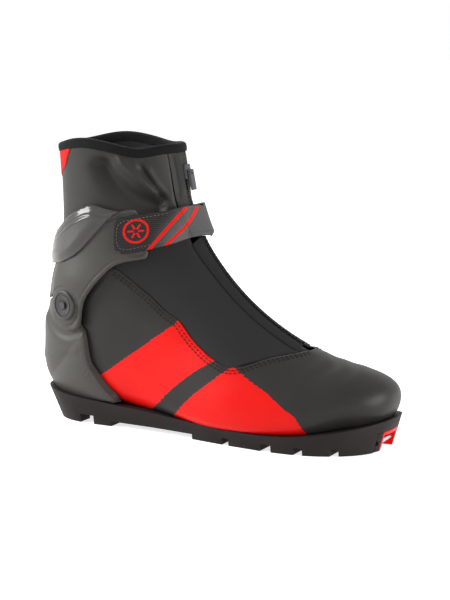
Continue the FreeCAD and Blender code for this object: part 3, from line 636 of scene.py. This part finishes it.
def woven_cloth(name, colour, size=1.3, height=0.16, roughness=0.85, **shader):
    """Plain weave: two sets of ribs across each other."""
    finish = Finish(name, colour, roughness, **shader)
    weave = finish.ribs(size, "Z") * 0.5 + finish.ribs(size, "Y") * 0.5
    finish.give("Base Color", finish.blend(weave, shaded(colour, 0.62), shaded(colour, 1.3)))
    finish.raised(weave, height, 0.8)
    return finish.material


def printed_upper():
    """Coated fabric of the upper with the red areas printed on it."""
    grey, red = paint(47, 45, 44), paint(253, 22, 16)
    finish = Finish("printed_upper", grey, 0.5, Specular_IOR_Level=0.2)
    cloud = finish.cloud()
    inside = finish.mark("red").between(-0.12, 0.12)
    plain = finish.blend(cloud, shaded(grey, 0.86), shaded(grey, 1.14))
    printed = finish.blend(cloud, shaded(red, 0.93), shaded(red, 1.05))
    finish.give("Base Color", finish.blend(inside, plain, printed))
    finish.give("Roughness", (cloud - 0.5) * 0.2 + 0.42 - inside * 0.05)
    finish.raised(finish.cells(1.1) * 0.8 + finish.noise(0.55) * 0.5 + inside * 0.5, 0.10, 0.5)
    return finish.material


def printed_strap():
    """Grey strap that darkens to a near-black weave through a ramp of painted shade, with red lines
    and a ring mark.
    """
    grey, black, red = paint(88, 87, 87), paint(16, 16, 17), paint(238, 28, 24)
    finish = Finish("printed_strap", grey, 0.6)
    weave = finish.ribs(1.5, "DIAGONAL") * 0.6 + finish.ribs(1.5, "Z") * 0.4
    edge = finish.mark("dark")
    woven = edge.between(-0.4, 0.4)
    # painted shade: the near-black tab is painted lighter by the grey's edge and reaches black 24 mm
    # further in
    painted_shade_ramp = finish.blend(edge.between(1.0, 24.0), paint(104, 100, 97), black)
    ground = finish.blend(woven, grey, painted_shade_ramp)
    lit = finish.blend(weave * woven * 0.22, ground, paint(120, 116, 114))
    finish.give("Base Color", finish.blend(finish.mark("red").between(-0.15, 0.15), lit, red))
    finish.raised(weave, 0.14, 0.7)
    return finish.material


def skinned(name, colour, roughness, metallic=0.0, bare=1.7):
    """Bare beside the notch that the toe bar crosses, under the sole's rubber further out."""
    bar = next(mount for mount in frame["record"]["mounts"] if mount["name"] == "toe_bar")
    edge = bar["dims"]["length_mm"] / 2 * MM + bare * MM
    rubber = paint(40, 35, 35)
    finish = Finish(name, colour, roughness)
    across = finish.node("SeparateXYZ", {}, {0: finish.place()}, 1) - bar["pos_m"][1]
    covered = across.math("ABSOLUTE").between(edge - 0.1 * MM, edge + 0.1 * MM)
    cloud = finish.cloud()
    shown, hidden = (finish.blend(cloud, shaded(tone, 0.93), tone) for tone in (colour, rubber))
    finish.give("Base Color", finish.blend(covered, shown, hidden))
    finish.give("Roughness", covered * (0.6 - roughness) + roughness + (cloud - 0.5) * 0.1)
    finish.give("Metallic", (1 - covered) * metallic)
    finish.raised(finish.noise(0.8, 3.0) * (covered * 0.8 + 0.2), 0.09, 0.5)
    return finish.material


FINISHES = {
    "upper": printed_upper(),
    "cover": grained("softshell", paint(42, 41, 41), 0.62, 0.8, 0.07),
    "collar": grained("collar_shell", paint(55, 54, 52), 0.45, 1.0, 0.07, Specular_IOR_Level=0.14),
    "gusset": grained("gusset_stretch", paint(58, 57, 56), 0.6, 0.7, 0.08),
    "binding": woven_cloth("ribbed_binding", paint(18, 18, 19), 1.6, 0.3),
    "patch": woven_cloth("red_patch", paint(232, 32, 28), 0.9, 0.12, 0.7),
    "tape": woven_cloth("woven_tape", paint(43, 43, 44), 0.9, 0.12),
    "knit": woven_cloth("stretch_knit", paint(30, 30, 31), 1.4, 0.28),
    "lining": grained("fleece_lining", paint(36, 36, 38), 0.95, 0.9, 0.28, Sheen_Weight=0.3),
    "insole": woven_cloth("insole_top", paint(60, 60, 64), 1.2, 0.1),
    "board": moulded("fibre_board", paint(120, 108, 90), 0.9),
    "stiffener": moulded("toe_stiffener", paint(120, 120, 118), 0.8),
    "shell": moulded("matte_shell", paint(79, 77, 73), 0.46, 0.06, 0.8),
    "gloss": moulded("satin_shell", paint(74, 72, 69), 0.24, 0.02, 0.9, Coat_Weight=0.3),
    "cap": moulded("pivot_cap", paint(74, 73, 72), 0.34, 0.03),
    "trim": moulded("black_trim", paint(30, 30, 31), 0.45),
    "coil": moulded("nylon_coil", paint(22, 22, 23), 0.3, 0.01),
    "thread": woven_cloth("sewing_thread", paint(24, 24, 24), 0.5, 0.05, 0.7),
    "pale_thread": woven_cloth("grey_thread", paint(112, 108, 106), 0.5, 0.05, 0.7),
    "strap": printed_strap(),
    "sole": moulded("sole_rubber", paint(40, 35, 35), 0.6, 0.09, 0.9),
    "insert": skinned("red_insert", paint(252, 12, 12), 0.32),
    "bar": skinned("toe_bar_steel", paint(206, 208, 206), 0.3, 1.0),
    "dark_steel": moulded("blackened_steel", paint(70, 70, 72), 0.4, 0.01, Metallic=0.8),
    "steel": moulded("plain_steel", paint(200, 200, 202), 0.28, 0.01, Metallic=1.0),
    "metal": moulded("painted_casting", paint(84, 84, 88), 0.4, 0.02, Metallic=0.4),
}


# ---- upper ------------------------------------------------------------------
SEAM = [(0.748, 0.234), (0.733, 0.216), (0.693, 0.202), (0.638, 0.196), (0.588, 0.200),
        (0.557, 0.200), (0.520, 0.212), (0.487, 0.218), (0.468, 0.218), (0.443, 0.214),
        (0.422, 0.192), (0.398, 0.146), (0.370, 0.086), (0.357, 0.030), (0.356, 0.0)]
REAR = [(0.58, 0.41), (0.600, 0.400), (0.640, 0.395), (0.680, 0.365), (0.748, 0.345)]
RED_REAR = np.array([(0.560, 0.190), (0.560, 0.208), (0.595, 0.282), (0.630, 0.344), (0.66, 0.40),
                     (0.66, 0.45), (0.56, 0.45), (0.547, 0.402), (0.517, 0.328), (0.492, 0.270),
                     (0.468, 0.218), (0.460, 0.190)])
RED_FRONT = np.array([(0.435, 0.205), (0.463, 0.284), (0.485, 0.338), (0.505, 0.392), (0.52, 0.44),
                      (0.20, 0.44), (0.228, 0.376), (0.283, 0.292), (0.357, 0.230)])


def red_print(s, t, points, inwards):
    """Signed distance into the printed areas, the same on both sides."""
    side = np.abs(t)
    spots = skin(s, side)
    return np.maximum(depth_into(RED_REAR, s, side, spots), depth_into(RED_FRONT, s, side, spots))


def walked(s, t, points, inwards):
    """Faint creases over the ball of the foot, and the welt along the seam."""
    crease = np.sin(points[:, 0] * 0.42 + np.sin(points[:, 1] * 0.13) * 1.8)
    over_ball = bump((s - 0.30) / 0.09) * bump(t / 0.16)
    slow = np.sin(points[:, 0] * 0.11 + 1.0) * np.sin(points[:, 2] * 0.14)
    return 0.28 * crease * over_ball + 0.22 * slow - 0.35 * bump((inwards - 3.4) / 1.2)


UPPER = loop([(0.0, -0.41), (0.0, 0.41)], [(0.0, 0.41), (0.58, 0.41)], REAR,
             [(0.748, 0.345), (0.748, 0.234)], SEAM + flipped(SEAM[:-1]),
             [(0.748, -0.234), (0.748, -0.345)], flipped(REAR), [(0.58, -0.41), (0.0, -0.41)])
finish_piece(cut_panel("outer_upper", UPPER, 0.0, -1.1, 1.5, 0.6, walked, {"red": red_print}),
             FINISHES["upper"], "foot", "quarter", "vamp", "quarter_lateral", "quarter_medial")

TIP_SIDES = 40
TIP_SHARES = (1, 0.8, 0.55, 0.3, 0.08)
TIP_CROWN = 1.2
tip = skin(0.0, np.arange(TIP_SIDES) / TIP_SIDES, -0.2)
middle = tip.mean(0)
tip_rings = np.vstack([middle + (tip - middle) * share + (TIP_CROWN * (1 - share**2), 0, 0)
                       for share in TIP_SHARES])
last_ring = tuple(range(len(tip_rings) - TIP_SIDES, len(tip_rings)))
finish_piece(make_object("toe_tip", tip_rings,
                         grid_faces(len(TIP_SHARES), TIP_SIDES, False, True) + [last_ring],
                         {"red": np.full(len(tip_rings), -5.0)}),
             FINISHES["upper"], "foot", "upper")

SIDES = (("lateral", 1), ("medial", -1))
for word, side in SIDES:
    rows = [stitches(f"seam_row_{word}_{i}", moved(on_side(SEAM[1:-1], side), -side * inset),
                     0.10, 2.4, 1.1, 0.32)
            for i, inset in enumerate((2.2, 4.6))]
    cover_line = on_side([(0.385, 0.070), (0.50, 0.070), (0.632, 0.070)], side)
    rows.append(stitches(f"cover_row_{word}", cover_line, -1.45, 1.7, 1.2, 0.24))
    finish_piece(joined(f"seam_stitching_{word}", rows), FINISHES["thread"], "foot", "quarter")

# ---- lace covers, zip bands and coil ----------------------------------------
def ankle_low(t):
    """Where the foot's upper ends and the stretch panel round the ankle begins."""
    return 0.639 + 0.183 * np.abs(np.sin(np.pi * t))


COVER_LOW = [(0.368, 0.064), (0.374, 0.086), (0.400, 0.146), (0.424, 0.190), (0.450, 0.240),
             (0.560, 0.300), (0.700, 0.345)]
COVER_TOP = at_height(ankle_low, np.linspace(0.345, 0.064, 9))
COVER_EDGES = (COVER_LOW, [COVER_LOW[-1], COVER_TOP[0]], COVER_TOP, [COVER_TOP[-1], COVER_LOW[0]])
BAND_CORNERS = [(0.374, 0.0008), (0.374, 0.067), (0.634, 0.067), (0.634, 0.0008)]
BAND_EDGES = [[a, b] for a, b in zip(BAND_CORNERS, BAND_CORNERS[1:] + BAND_CORNERS[:1])]
for word, side in SIDES:
    cover = loop(*[on_side(edge, side) for edge in COVER_EDGES])
    finish_piece(cut_panel(f"lace_cover_{word}", cover, -1.5, -2.8, 1.6, 0.5,
                           lambda s, t, p, i: 0.25 * np.sin(p[:, 2] * 0.16) * bump((i - 12) / 12)),
                 FINISHES["cover"], "foot", "cover", f"lace_cover_{word}")
    band = loop(*[on_side(edge, side) for edge in BAND_EDGES])
    finish_piece(cut_panel(f"zip_band_{word}", band, -0.3, -1.4, 1.2, 0.5,
                           lambda s, t, p, i: -0.3 * bump((i - 2.4) / 0.8)),
                 FINISHES["tape"], "foot", "tape", f"zip_band_{word}")


TOOTH_PITCH, TOOTH_REACH, TOOTH_LEAN = 1.5, 2.1, 0.35
TOOTH_CROWN, TOOTH_RADIUS = 0.7, 0.52


def coil_teeth(name, first, last, depth):
    """Zip coil: short arched threads across the centre line, leaning in turn."""
    fine = np.linspace(first, last, 200)
    line, places = resampled(skin(fine, 0 * fine, depth), TOOTH_PITCH)
    s = np.interp(places, np.linspace(0, places[-1], len(fine)), fine)
    sweep = np.linspace(-1, 1, 7)[:, None]
    teeth = []
    for i, (p, ahead, n) in enumerate(zip(line, np.gradient(line, axis=0), outward(s, 0 * s))):
        lean = TOOTH_LEAN if i % 2 else -TOOTH_LEAN
        ahead = ahead / np.linalg.norm(ahead)
        arch = (p + sweep * (0, TOOTH_REACH, 0) + ahead * lean * sweep
                + n * (TOOTH_CROWN * (1 - sweep**2) - 0.1))
        teeth.append(tube(f"{name}_{i}", arch, TOOTH_RADIUS, 6))
    return joined(name, teeth)


finish_piece(coil_teeth("zip_coil_teeth", 0.378, 0.630, 0.0), FINISHES["coil"], "foot", "coil",
             "zip_coil")

# ---- collar -----------------------------------------------------------------
def ankle_high(t):
    """Where the stretch panel ends and the collar begins."""
    return ankle_low(t) + 0.061


def rim_sway(points, s, t):
    """The rim stands higher at the side and dips towards the front."""
    turn = np.mod(t, 1.0)
    side = np.minimum(turn, 1 - turn)
    inner = np.where(turn > 0.5, 0.6, 1.0)
    rise = 5.5 * bump((side - 0.30) / 0.13) - 2.6 * inner * bump((side - 0.15) / 0.07)
    return points + np.stack([0 * s, 0 * s, rise * smooth((s - 0.86) / 0.14)], -1)


def fold(points, line, height, width):
    """A rounded fold along a line that dies away at both ends."""
    away, run = beside(points, line)
    longest = run.max()
    ends = smooth(run / 9) * smooth((longest - run) / 9) if longest else 1
    return height * bump(away / width) * ends


COLLAR_FOLDS = [
    ([(0.983, 0.255), (0.95, 0.236), (0.89, 0.188), (0.81, 0.13), (0.755, 0.088)], -7.5, 12.0),
    ([(0.988, 0.208), (0.943, 0.17), (0.875, 0.132), (0.80, 0.102)], 3.2, 4.4),
    ([(0.978, 0.154), (0.915, 0.134), (0.845, 0.112), (0.765, 0.082)], -2.6, 3.6),
    ([(0.968, 0.136), (0.885, 0.116), (0.82, 0.094), (0.755, 0.074)], 1.2, 3.0)]


def collar_shape(cloth, s, t):
    """Folds the collar and its padding together, and shapes the rim."""
    points = skin(s, t)
    rise = sum(fold(points, line, height, width) for line, height, width in COLLAR_FOLDS)
    rise = rise + sum(fold(points, flipped_round(line), height * 0.7, width)
                      for line, height, width in COLLAR_FOLDS)
    slow = 0.5 * np.sin(points[:, 2] * 0.075 + points[:, 0] * 0.05) * bump((s - 0.92) / 0.07)
    return rim_sway(cloth + outward(s, t) * (rise + slow)[:, None], s, t)


FRONT, COLLAR_TOP = 0.066, 0.997
COLLAR_LOW = float(ankle_high(FRONT))
collar = loop(at_height(ankle_high, np.linspace(FRONT, 1 - FRONT, 25)),
              [(COLLAR_LOW, 1 - FRONT), (COLLAR_TOP, 1 - FRONT)],
              [(COLLAR_TOP, 1 - FRONT), (COLLAR_TOP, FRONT)],
              [(COLLAR_TOP, FRONT), (COLLAR_LOW, FRONT)])
finish_piece(cut_panel("collar_shell", collar, -0.4, -2.8, 1.7, 0.6,
                       settle=collar_shape), FINISHES["collar"], "cuff", "collar", "collar")


def gusset_relief(s, t, points, inwards):
    """A ridge on each side of the zip, and a hollow beyond it."""
    along = smooth((s - 0.74) / 0.08) * smooth((0.99 - s) / 0.06)
    return along * (2.0 * bump((np.abs(t) - 0.020) / 0.012) - 3.0 * bump((np.abs(t) - 0.046) / 0.010))


gusset = loop([(0.700, -0.060), (0.700, 0.060)], [(0.700, 0.060), (COLLAR_TOP, 0.060)],
              [(COLLAR_TOP, 0.060), (COLLAR_TOP, -0.060)], [(COLLAR_TOP, -0.060), (0.700, -0.060)])
finish_piece(cut_panel("collar_gusset", gusset, -1.4, -2.8, 1.3, 0.4, gusset_relief,
                       settle=rim_sway), FINISHES["gusset"], "cuff", "knit", "collar_gusset")
finish_piece(coil_teeth("zip_coil_teeth_upper", 0.714, 0.852, -1.45), FINISHES["coil"], "cuff",
             "coil", "zip_coil_upper")

patch = loop([(0.996, 0.335), (0.996, 0.665)], [(0.996, 0.665), (0.974, 0.622)],
             [(0.974, 0.622), (0.964, 0.5), (0.974, 0.378)], [(0.974, 0.378), (0.996, 0.335)])
finish_piece(cut_panel("heel_patch", patch, 0.5, -0.3, 1.2, 0.4, settle=rim_sway),
             FINISHES["patch"], "cuff", "red_trim", "heel_patch")

# down the collar, outwards
BINDING_SECTION = [(5.5, 0.0), (5.2, 0.9), (2.5, 1.3), (0.2, 1.2), (-1.3, 0.2), (-2.0, -1.6),
                   (-1.9, -3.6), (-1.0, -5.4), (0.6, -6.4), (3.0, -6.9), (5.2, -6.9), (5.5, -5.9),
                   (3.0, -5.2), (0.8, -3.4), (1.0, -1.4)]
BINDING_STEPS = 240
places = np.arange(BINDING_STEPS) / BINDING_STEPS
rim = skin(1.0, places)
down = skin(0.985, places) - rim
down /= np.linalg.norm(down, axis=1, keepdims=True)
out = outward(0.999 + 0 * places, places)
strip = np.stack([rim_sway(rim + down * u + out * v, 1 + 0 * places, places)
                  for u, v in BINDING_SECTION], 1)
binding = make_object("collar_binding", strip.reshape(-1, 3),
                      grid_faces(BINDING_STEPS, len(BINDING_SECTION), True, True), sharp=60)
turn_out(binding)
finish_piece(binding, FINISHES["binding"], "cuff", "knit", "collar_binding")


# ---- linings ----------------------------------------------------------------
def soft_layer(name, outline, body, *nodes, settle=None):
    """Padded fleece on the inside, 3 mm thick."""
    piece = cut_panel(name, outline, -3.3, -6.4, 2.2, 1.2, settle=settle,
                      relief=lambda s, t, p, i: -0.2 * smooth(i / 6))
    finish_piece(piece, FINISHES["lining"], body, "lining", *nodes)


inner_collar = loop(at_height(ankle_high, np.linspace(0.005, 0.995, 31), 0.008),
                    [(0.709, 0.995), (0.992, 0.995)], [(0.992, 0.995), (0.992, 0.005)],
                    [(0.992, 0.005), (0.709, 0.005)])
soft_layer("collar_padding", inner_collar, "cuff", "collar_lining", settle=collar_shape)
HEEL_TOP = float(ankle_low(0.113))
heel_wrap = loop([(0.640, 0.113), (0.640, 0.887)], [(0.640, 0.887), (HEEL_TOP, 0.887)],
                 at_height(ankle_low, np.linspace(0.887, 0.113, 25)),
                 [(HEEL_TOP, 0.113), (0.640, 0.113)])
soft_layer("heel_padding", heel_wrap, "foot", "heel_lining_lateral", "heel_lining_back",
           "heel_lining_medial")

knit_band = loop(at_height(ankle_low, np.linspace(0.014, 0.986, 33), -0.004),
                 [(0.643, 0.986), (0.704, 0.986)],
                 at_height(ankle_high, np.linspace(0.986, 0.014, 33), 0.004),
                 [(0.704, 0.014), (0.643, 0.014)])
band = cut_panel("ankle_knit", knit_band, -3.0, -3.9, 1.8, 0.3)
finish_piece(band, FINISHES["knit"], None, "knit", "ankle_flex")
RAISE = np.array([-0.345, 0.0, 0.938])            # across the panel, up the leg
ring_t = np.linspace(0.014, 0.986, 60)
first = (skin(ankle_low(ring_t), ring_t) @ RAISE).mean()
last = (skin(ankle_high(ring_t), ring_t) @ RAISE).mean()
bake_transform(band)

# ---- heel counter -----------------------------------------------------------
PIVOT_S, PIVOT_T = 0.758, 0.324
COUNTER_OUT = 2.9
PIVOT = skin(PIVOT_S, PIVOT_T, COUNTER_OUT)
COUNTER_TOP = [(0.712, 0.308), (0.765, 0.314), (0.780, 0.324), (0.786, 0.345), (0.792, 0.370),
               (0.802, 0.420), (0.806, 0.5)]
COUNTER_FRONT = [(0.570, 0.406), (0.588, 0.372), (0.608, 0.358), (0.635, 0.342), (0.657, 0.332),
                 (0.677, 0.318), (0.695, 0.308), (0.712, 0.308)]


def pivot_away(s, t):
    """Distance from the pivot seen from the side, and height."""
    spot = skin(s, t)
    return np.hypot(spot[..., 0] - PIVOT[0], spot[..., 2] - PIVOT[2]), spot[..., 2]


def counter_depth(s, t):
    """Flush round the pivot, fuller over the heel."""
    away, level = pivot_away(s, t)
    return COUNTER_OUT + 3.0 * smooth((away - 23.5) / 4) * smooth((PIVOT[2] - 5 - level) / 8)


def counter_flare(points, s, t):
    """Spreads the heel backwards and rests its edge on the sole's rim."""
    level = skin(s, t)[:, 2]
    flare = np.maximum(0, -np.cos(2 * np.pi * t))**2 * smooth((72 - level) / 46)
    spread = points - np.stack([9.0 * flare, 0 * s, 0 * s], -1)
    spread[:, 2] = np.maximum(spread[:, 2], 20)
    return spread


def counter_relief(s, t, points, inwards):
    """A groove along the edge and a soft ridge across."""
    groove = -0.7 * bump((inwards - 5.0) / 0.9) * smooth((PIVOT[2] - 12 - points[:, 2]) / 8)
    ridge = 0.8 * bump((points[:, 2] - 58 - 0.25 * (points[:, 0] + 120)) / 5)
    return groove + ridge * smooth(inwards / 8)


counter = loop(COUNTER_FRONT, round_back(COUNTER_TOP),
               flipped_round(COUNTER_FRONT)[::-1], [(0.570, 0.594), (0.570, 0.406)])
finish_piece(cut_panel("heel_counter", counter, counter_depth, 0.5, 1.4, 0.9, counter_relief,
                       settle=counter_flare), FINISHES["shell"], "foot", "shell", "heel_counter")

# ---- cuff, spoiler and pivots -----------------------------------------------
CUFF_LOW = [(0.702, 0.156), (0.696, 0.162), (0.704, 0.172), (0.728, 0.198), (0.740, 0.222),
            (0.738, 0.262), (0.731, 0.282), (0.710, 0.304), (0.716, 0.318), (0.731, 0.338),
            (0.750, 0.354), (0.783, 0.368), (0.802, 0.390), (0.812, 0.500)]
CUFF_HIGH = [(0.797, 0.156), (0.820, 0.163), (0.835, 0.176), (0.850, 0.200), (0.853, 0.214),
             (0.870, 0.250), (0.886, 0.300), (0.893, 0.400), (0.895, 0.500)]
SPOILER_LOW = [(0.8465, 0.200), (0.849, 0.218), (0.829, 0.286), (0.838, 0.340), (0.855, 0.400),
               (0.868, 0.500)]
SPOILER_HIGH = [(0.8505, 0.200), (0.870, 0.220), (0.890, 0.242), (0.905, 0.264), (0.910, 0.286),
                (0.912, 0.330), (0.906, 0.400), (0.910, 0.500)]


def cuff_depth(extra):
    """Depth of a layer of the cuff: it stands clear of the counter low down."""
    def depth(s, t):
        over = 1 - smooth((skin(s, t)[..., 2] - 112) / 28)
        return 0.5 + 3.6 * over + extra
    return depth


def shell_loop(low, high):
    """Outline between two lines that both run round the back."""
    lower, upper = round_back(low), round_back(high)
    return loop(lower, [lower[-1], upper[-1]], upper[::-1], [upper[0], lower[0]])


def cuff_relief(s, t, points, inwards):
    """A seat and a lobe round the pivot, a line inside the edge, and a sunk back."""
    away, level = pivot_away(s, np.minimum(t, 1 - t))
    behind = smooth((0.5 - np.abs(t - 0.5) - 0.36) / 0.05)
    seat = -0.8 * bump((away - 15.5) / 1.3)
    lobe = 0.7 * bump((away - 19.5) / 2.2) * smooth((PIVOT[2] + 12 - level) / 10)
    edge = -0.45 * bump((inwards - 3.2) / 0.9)
    back = behind * (1.6 * smooth(inwards / 9) - 4.0)
    return seat + lobe + edge + back


finish_piece(cut_panel("cuff_shell", shell_loop(CUFF_LOW, CUFF_HIGH), cuff_depth(2.6),
                       cuff_depth(0.0), 1.3, 1.0, cuff_relief), FINISHES["shell"], "cuff", "shell",
             "cuff_shell")


def spoiler_relief(s, t, points, inwards):
    """A full crown with one groove under the top edge."""
    crown = 2.6 * smooth(inwards / 9)
    line = [(0.858, 0.222), (0.878, 0.250), (0.892, 0.274), (0.8965, 0.300), (0.897, 0.340),
            (0.892, 0.400), (0.896, 0.500)]
    groove = np.minimum(beside(points, line)[0], beside(points, flipped_round(line))[0])
    return crown - 0.8 * bump(groove / 1.5) * smooth(inwards / 2.5)


finish_piece(cut_panel("cuff_spoiler", shell_loop(SPOILER_LOW, SPOILER_HIGH), cuff_depth(4.4),
                       cuff_depth(3.0), 1.2, 1.0, spoiler_relief), FINISHES["gloss"], "cuff",
             "gloss_shell", "cuff_spoiler")

# radius, height
CAP_PROFILE = [(11.6, -4.5), (11.75, 0.9), (11.5, 1.6), (10.8, 2.0), (9.6, 2.0), (9.1, 1.3),
               (8.4, 1.3), (7.9, 1.9), (6.4, 1.7), (4.2, 1.2), (3.9, 0.7)]
caps = []
for side in (PIVOT_T, 1 - PIVOT_T):
    axis = outward(np.array([PIVOT_S]), np.array([side]))[0]
    base = skin(PIVOT_S, side, float(cuff_depth(2.6)(PIVOT_S, side)))
    caps.append(turned(f"cap_{side}", np.array([PIVOT[0], base[1], PIVOT[2]]), axis, CAP_PROFILE))
finish_piece(joined("pivot_caps", caps), FINISHES["cap"], "cuff", "cap", "pivot_caps")

# ---- strap ------------------------------------------------------------------
STRAP_LOW = table([(0.000, 0.612), (0.040, 0.623), (0.100, 0.655), (0.156, 0.705), (0.206, 0.753)])
STRAP_HIGH = table([(0.000, 0.694), (0.046, 0.713), (0.096, 0.745), (0.154, 0.795), (0.206, 0.833)])
CORNER, CUT = 0.076, 0.0003                       # where the strap folds, and half the slit there
STRAP_END = 0.206


def strap_depth(extra):
    """Depth of a layer of the strap: on the cuff's arms, and clear of the instep between them."""
    def depth(s, t):
        hold = smooth((np.abs(t) - 0.060) / 0.095)
        return cuff_depth(4.7 + extra)(s, t) * hold + (7.0 + extra) * (1 - hold)
    return depth


def strap_span(first, last, round_first=False, round_last=False):
    """Outline of one stretch of the strap, with round corners at its free end."""
    ts = np.linspace(first, last, 15)
    low = [(float(STRAP_LOW(abs(t))), float(t)) for t in ts]
    high = [(float(STRAP_HIGH(abs(t))), float(t)) for t in ts[::-1]]
    outline = loop(low, [low[-1], high[0]], high, [high[-1], low[0]])
    for rounded, end, sign in ((round_first, first, 1), (round_last, last, -1)):
        if rounded:
            s0, s1 = float(STRAP_LOW(abs(end))), float(STRAP_HIGH(abs(end)))
            across = (outline[:, 0] - (s0 + s1) / 2) / ((s1 - s0) / 2)
            near_end = smooth(1 - np.abs(outline[:, 1] - end) / 0.012)
            outline[:, 1] += sign * 0.007 * np.abs(np.clip(across, -1, 1))**6 * near_end
    return outline


STRIPES = [([(0.715, 0.064), (0.7065, 0.110), (0.700, 0.160)], 1.35),
           ([(0.6955, 0.031), (0.6785, 0.059), (0.672, 0.085), (0.6735, 0.109), (0.675, 0.132)], 1.2)]
MARK_S, MARK_T = 0.762, 0.164


def strap_red(s, t, points, inwards):
    """Signed distance into the red lines and the plain ring mark of six rays."""
    lines = [half - beside(points, line)[0] for line, half in STRIPES]
    out = outward(MARK_S, MARK_T)
    across = np.cross(out, (0.0, 0.0, 1.0))
    across /= np.linalg.norm(across)
    gap = points - skin(MARK_S, MARK_T)
    x, y = gap @ across, gap @ np.cross(across, out)
    r = np.hypot(x, y)
    ring = 0.85 - np.abs(r - 8.6)
    turn = np.arctan2(y, x)
    spread = np.abs(np.mod(turn + np.pi / 6, np.pi / 3) - np.pi / 6) * r
    rays = np.minimum(0.7 - spread, np.minimum(6.0 - r, r - 1.6))
    return np.maximum.reduce(lines + [ring, rays])


def strap_dark(s, t, points, inwards):
    """Positive where the strap is near-black, negative in the grey over the instep."""
    away, _ = beside(points, [(0.655, 0.104), (0.662, 0.064), (0.675, 0.034), (0.688, 0.004)])
    side = np.where(t > 0.055 + (0.70 - s) * 0.55, 1.0, -1.0)
    return away * side


def strap_welt(s, t, points, inwards):
    """A shallow line inside the edge."""
    return -0.35 * bump((inwards - 2.6) / 0.7)


for name, first, last, body, start, end in (
        ("strap_base", -STRAP_END, -CORNER - CUT, "cuff", True, False),
        ("strap_front", -CORNER + CUT, CORNER - CUT, "strap_front", False, False),
        ("strap_tab", CORNER + CUT, STRAP_END, "strap_tab", False, True)):
    finish_piece(cut_panel(name, strap_span(first, last, start, end), strap_depth(2.0),
                           strap_depth(0.0), 0.8, 0.3, strap_welt,
                           {"red": strap_red, "dark": strap_dark}),
                 FINISHES["strap"], body, "strap", name)


# round the end tab: place along the strap, share of its width
BORDER = [(float(STRAP_LOW(t) * (1 - share) + STRAP_HIGH(t) * share), t) for t, share in (
    (0.100, 0.90), (0.125, 0.90), (0.150, 0.90), (0.172, 0.90), (0.188, 0.90), (0.198, 0.78),
    (0.200, 0.50), (0.198, 0.22), (0.188, 0.10), (0.172, 0.10), (0.150, 0.10), (0.125, 0.10))]
finish_piece(stitches("strap_tab_stitching", BORDER, strap_depth(2.0), 1.9, 0.8, 0.26),
             FINISHES["pale_thread"], "strap_tab", "strap")

# ---- sole, small metal and hidden pieces ------------------------------------
for node, width, finish, body, slot in (
        ("outsole", 0.8, "sole", "foot", "sole"), ("toe_insert", 0.7, "insert", "foot", "insert"),
        ("zip_slider", 0.5, "metal", "zip_slider", "grey_metal"),
        ("zip_pull", 0.35, "metal", "zip_pull", "grey_metal"),
        ("zip_stop", 0.4, "trim", "foot", "trim")):
    finish_piece(rounded_copy(node, width, f"{node}_rounded"), FINISHES[finish], body, slot, node)

CARRIED = {
    "toe_bar": "bar", "pivot_pins": "steel", "cap_screws": "dark_steel", "strap_rivets": "dark_steel",
    "pivot_washers": "trim", "lasting_board": "board", "insole": "insole", "toe_puff": "stiffener",
    "toe_lining": "lining", "lining_lateral": "lining", "lining_medial": "lining",
    "tongue": "lining", "heel_pocket": "cover", "lace": "tape", "eyelet_stay_lateral": "tape",
    "eyelet_stay_medial": "tape", "loop_patch": "tape", "hook_patch": "tape"}
for node, finish in CARRIED.items():
    piece = frame["nodes"][node]
    for held in piece.material_slots:
        held.material = FINISHES[finish]

# ---- stage ------------------------------------------------------------------
bpy.ops.mesh.primitive_plane_add(size=12, location=(0, 0, -0.0002))
floor = bpy.context.object
floor.name = "floor"
plain = Finish("pale_floor", (0.93, 0.93, 0.93, 1.0), 0.9, Emission_Strength=1.0)
plain.give("Emission Color", plain.blend(plain.seen(), (0.0, 0.0, 0.0, 1.0), (0.75, 0.75, 0.75, 1.0)))
floor.data.materials.append(plain.material)

WHITE = (1.0, 1.0, 1.0, 1.0)
world = bpy.data.worlds.new("studio")
bpy.context.scene.world = world
world.use_nodes = True
air = Nodes(world.node_tree)
air.tree.nodes.remove(air.tree.nodes["Background"])
dim, full = (air.node("Background", {}, {"Color": WHITE, "Strength": strength})
             for strength in (0.24, 1.0))
air.connect(air.tree.nodes["World Output"].inputs["Surface"],
            air.node("MixShader", {}, {0: air.seen(), 1: dim, 2: full}))

BOOT_MIDDLE = Vector((-0.02, 0, 0.09))


def soft_light(name, spot, size, watts):
    """Square lamp that faces the boot."""
    lamp = bpy.data.lights.new(name, "AREA")
    lamp.size, lamp.energy = size, watts
    light = bpy.data.objects.new(name, lamp)
    light.location = spot
    light.rotation_euler = (BOOT_MIDDLE - Vector(spot)).to_track_quat("-Z", "Y").to_euler()
    bpy.context.scene.collection.objects.link(light)


soft_light("key", (-1.5, -0.75, 0.75), 0.7, 31)
soft_light("toe", (1.75, -0.05, 0.25), 1.2, 36)
soft_light("back", (-0.9, 0.9, 1.1), 0.8, 9)

AZIMUTH, ELEVATION, DISTANCE = math.radians(27), math.radians(10), 1.5
LOOK_AT = Vector((0.009, 0, 0.1))
lens = bpy.data.cameras.new("camera")
lens.lens, lens.sensor_width = 117.0, 36.0
lens.shift_x, lens.shift_y = -0.00167, 0.005
camera = bpy.data.objects.new("camera", lens)
bpy.context.scene.collection.objects.link(camera)
bpy.context.scene.camera = camera
back = Vector((math.sin(AZIMUTH) * math.cos(ELEVATION), -math.cos(AZIMUTH) * math.cos(ELEVATION),
               math.sin(ELEVATION)))
camera.location = LOOK_AT + back * DISTANCE
camera.rotation_euler = back.to_track_quat("Z", "Y").to_euler()
bpy.context.scene.view_settings.view_transform = "Standard"
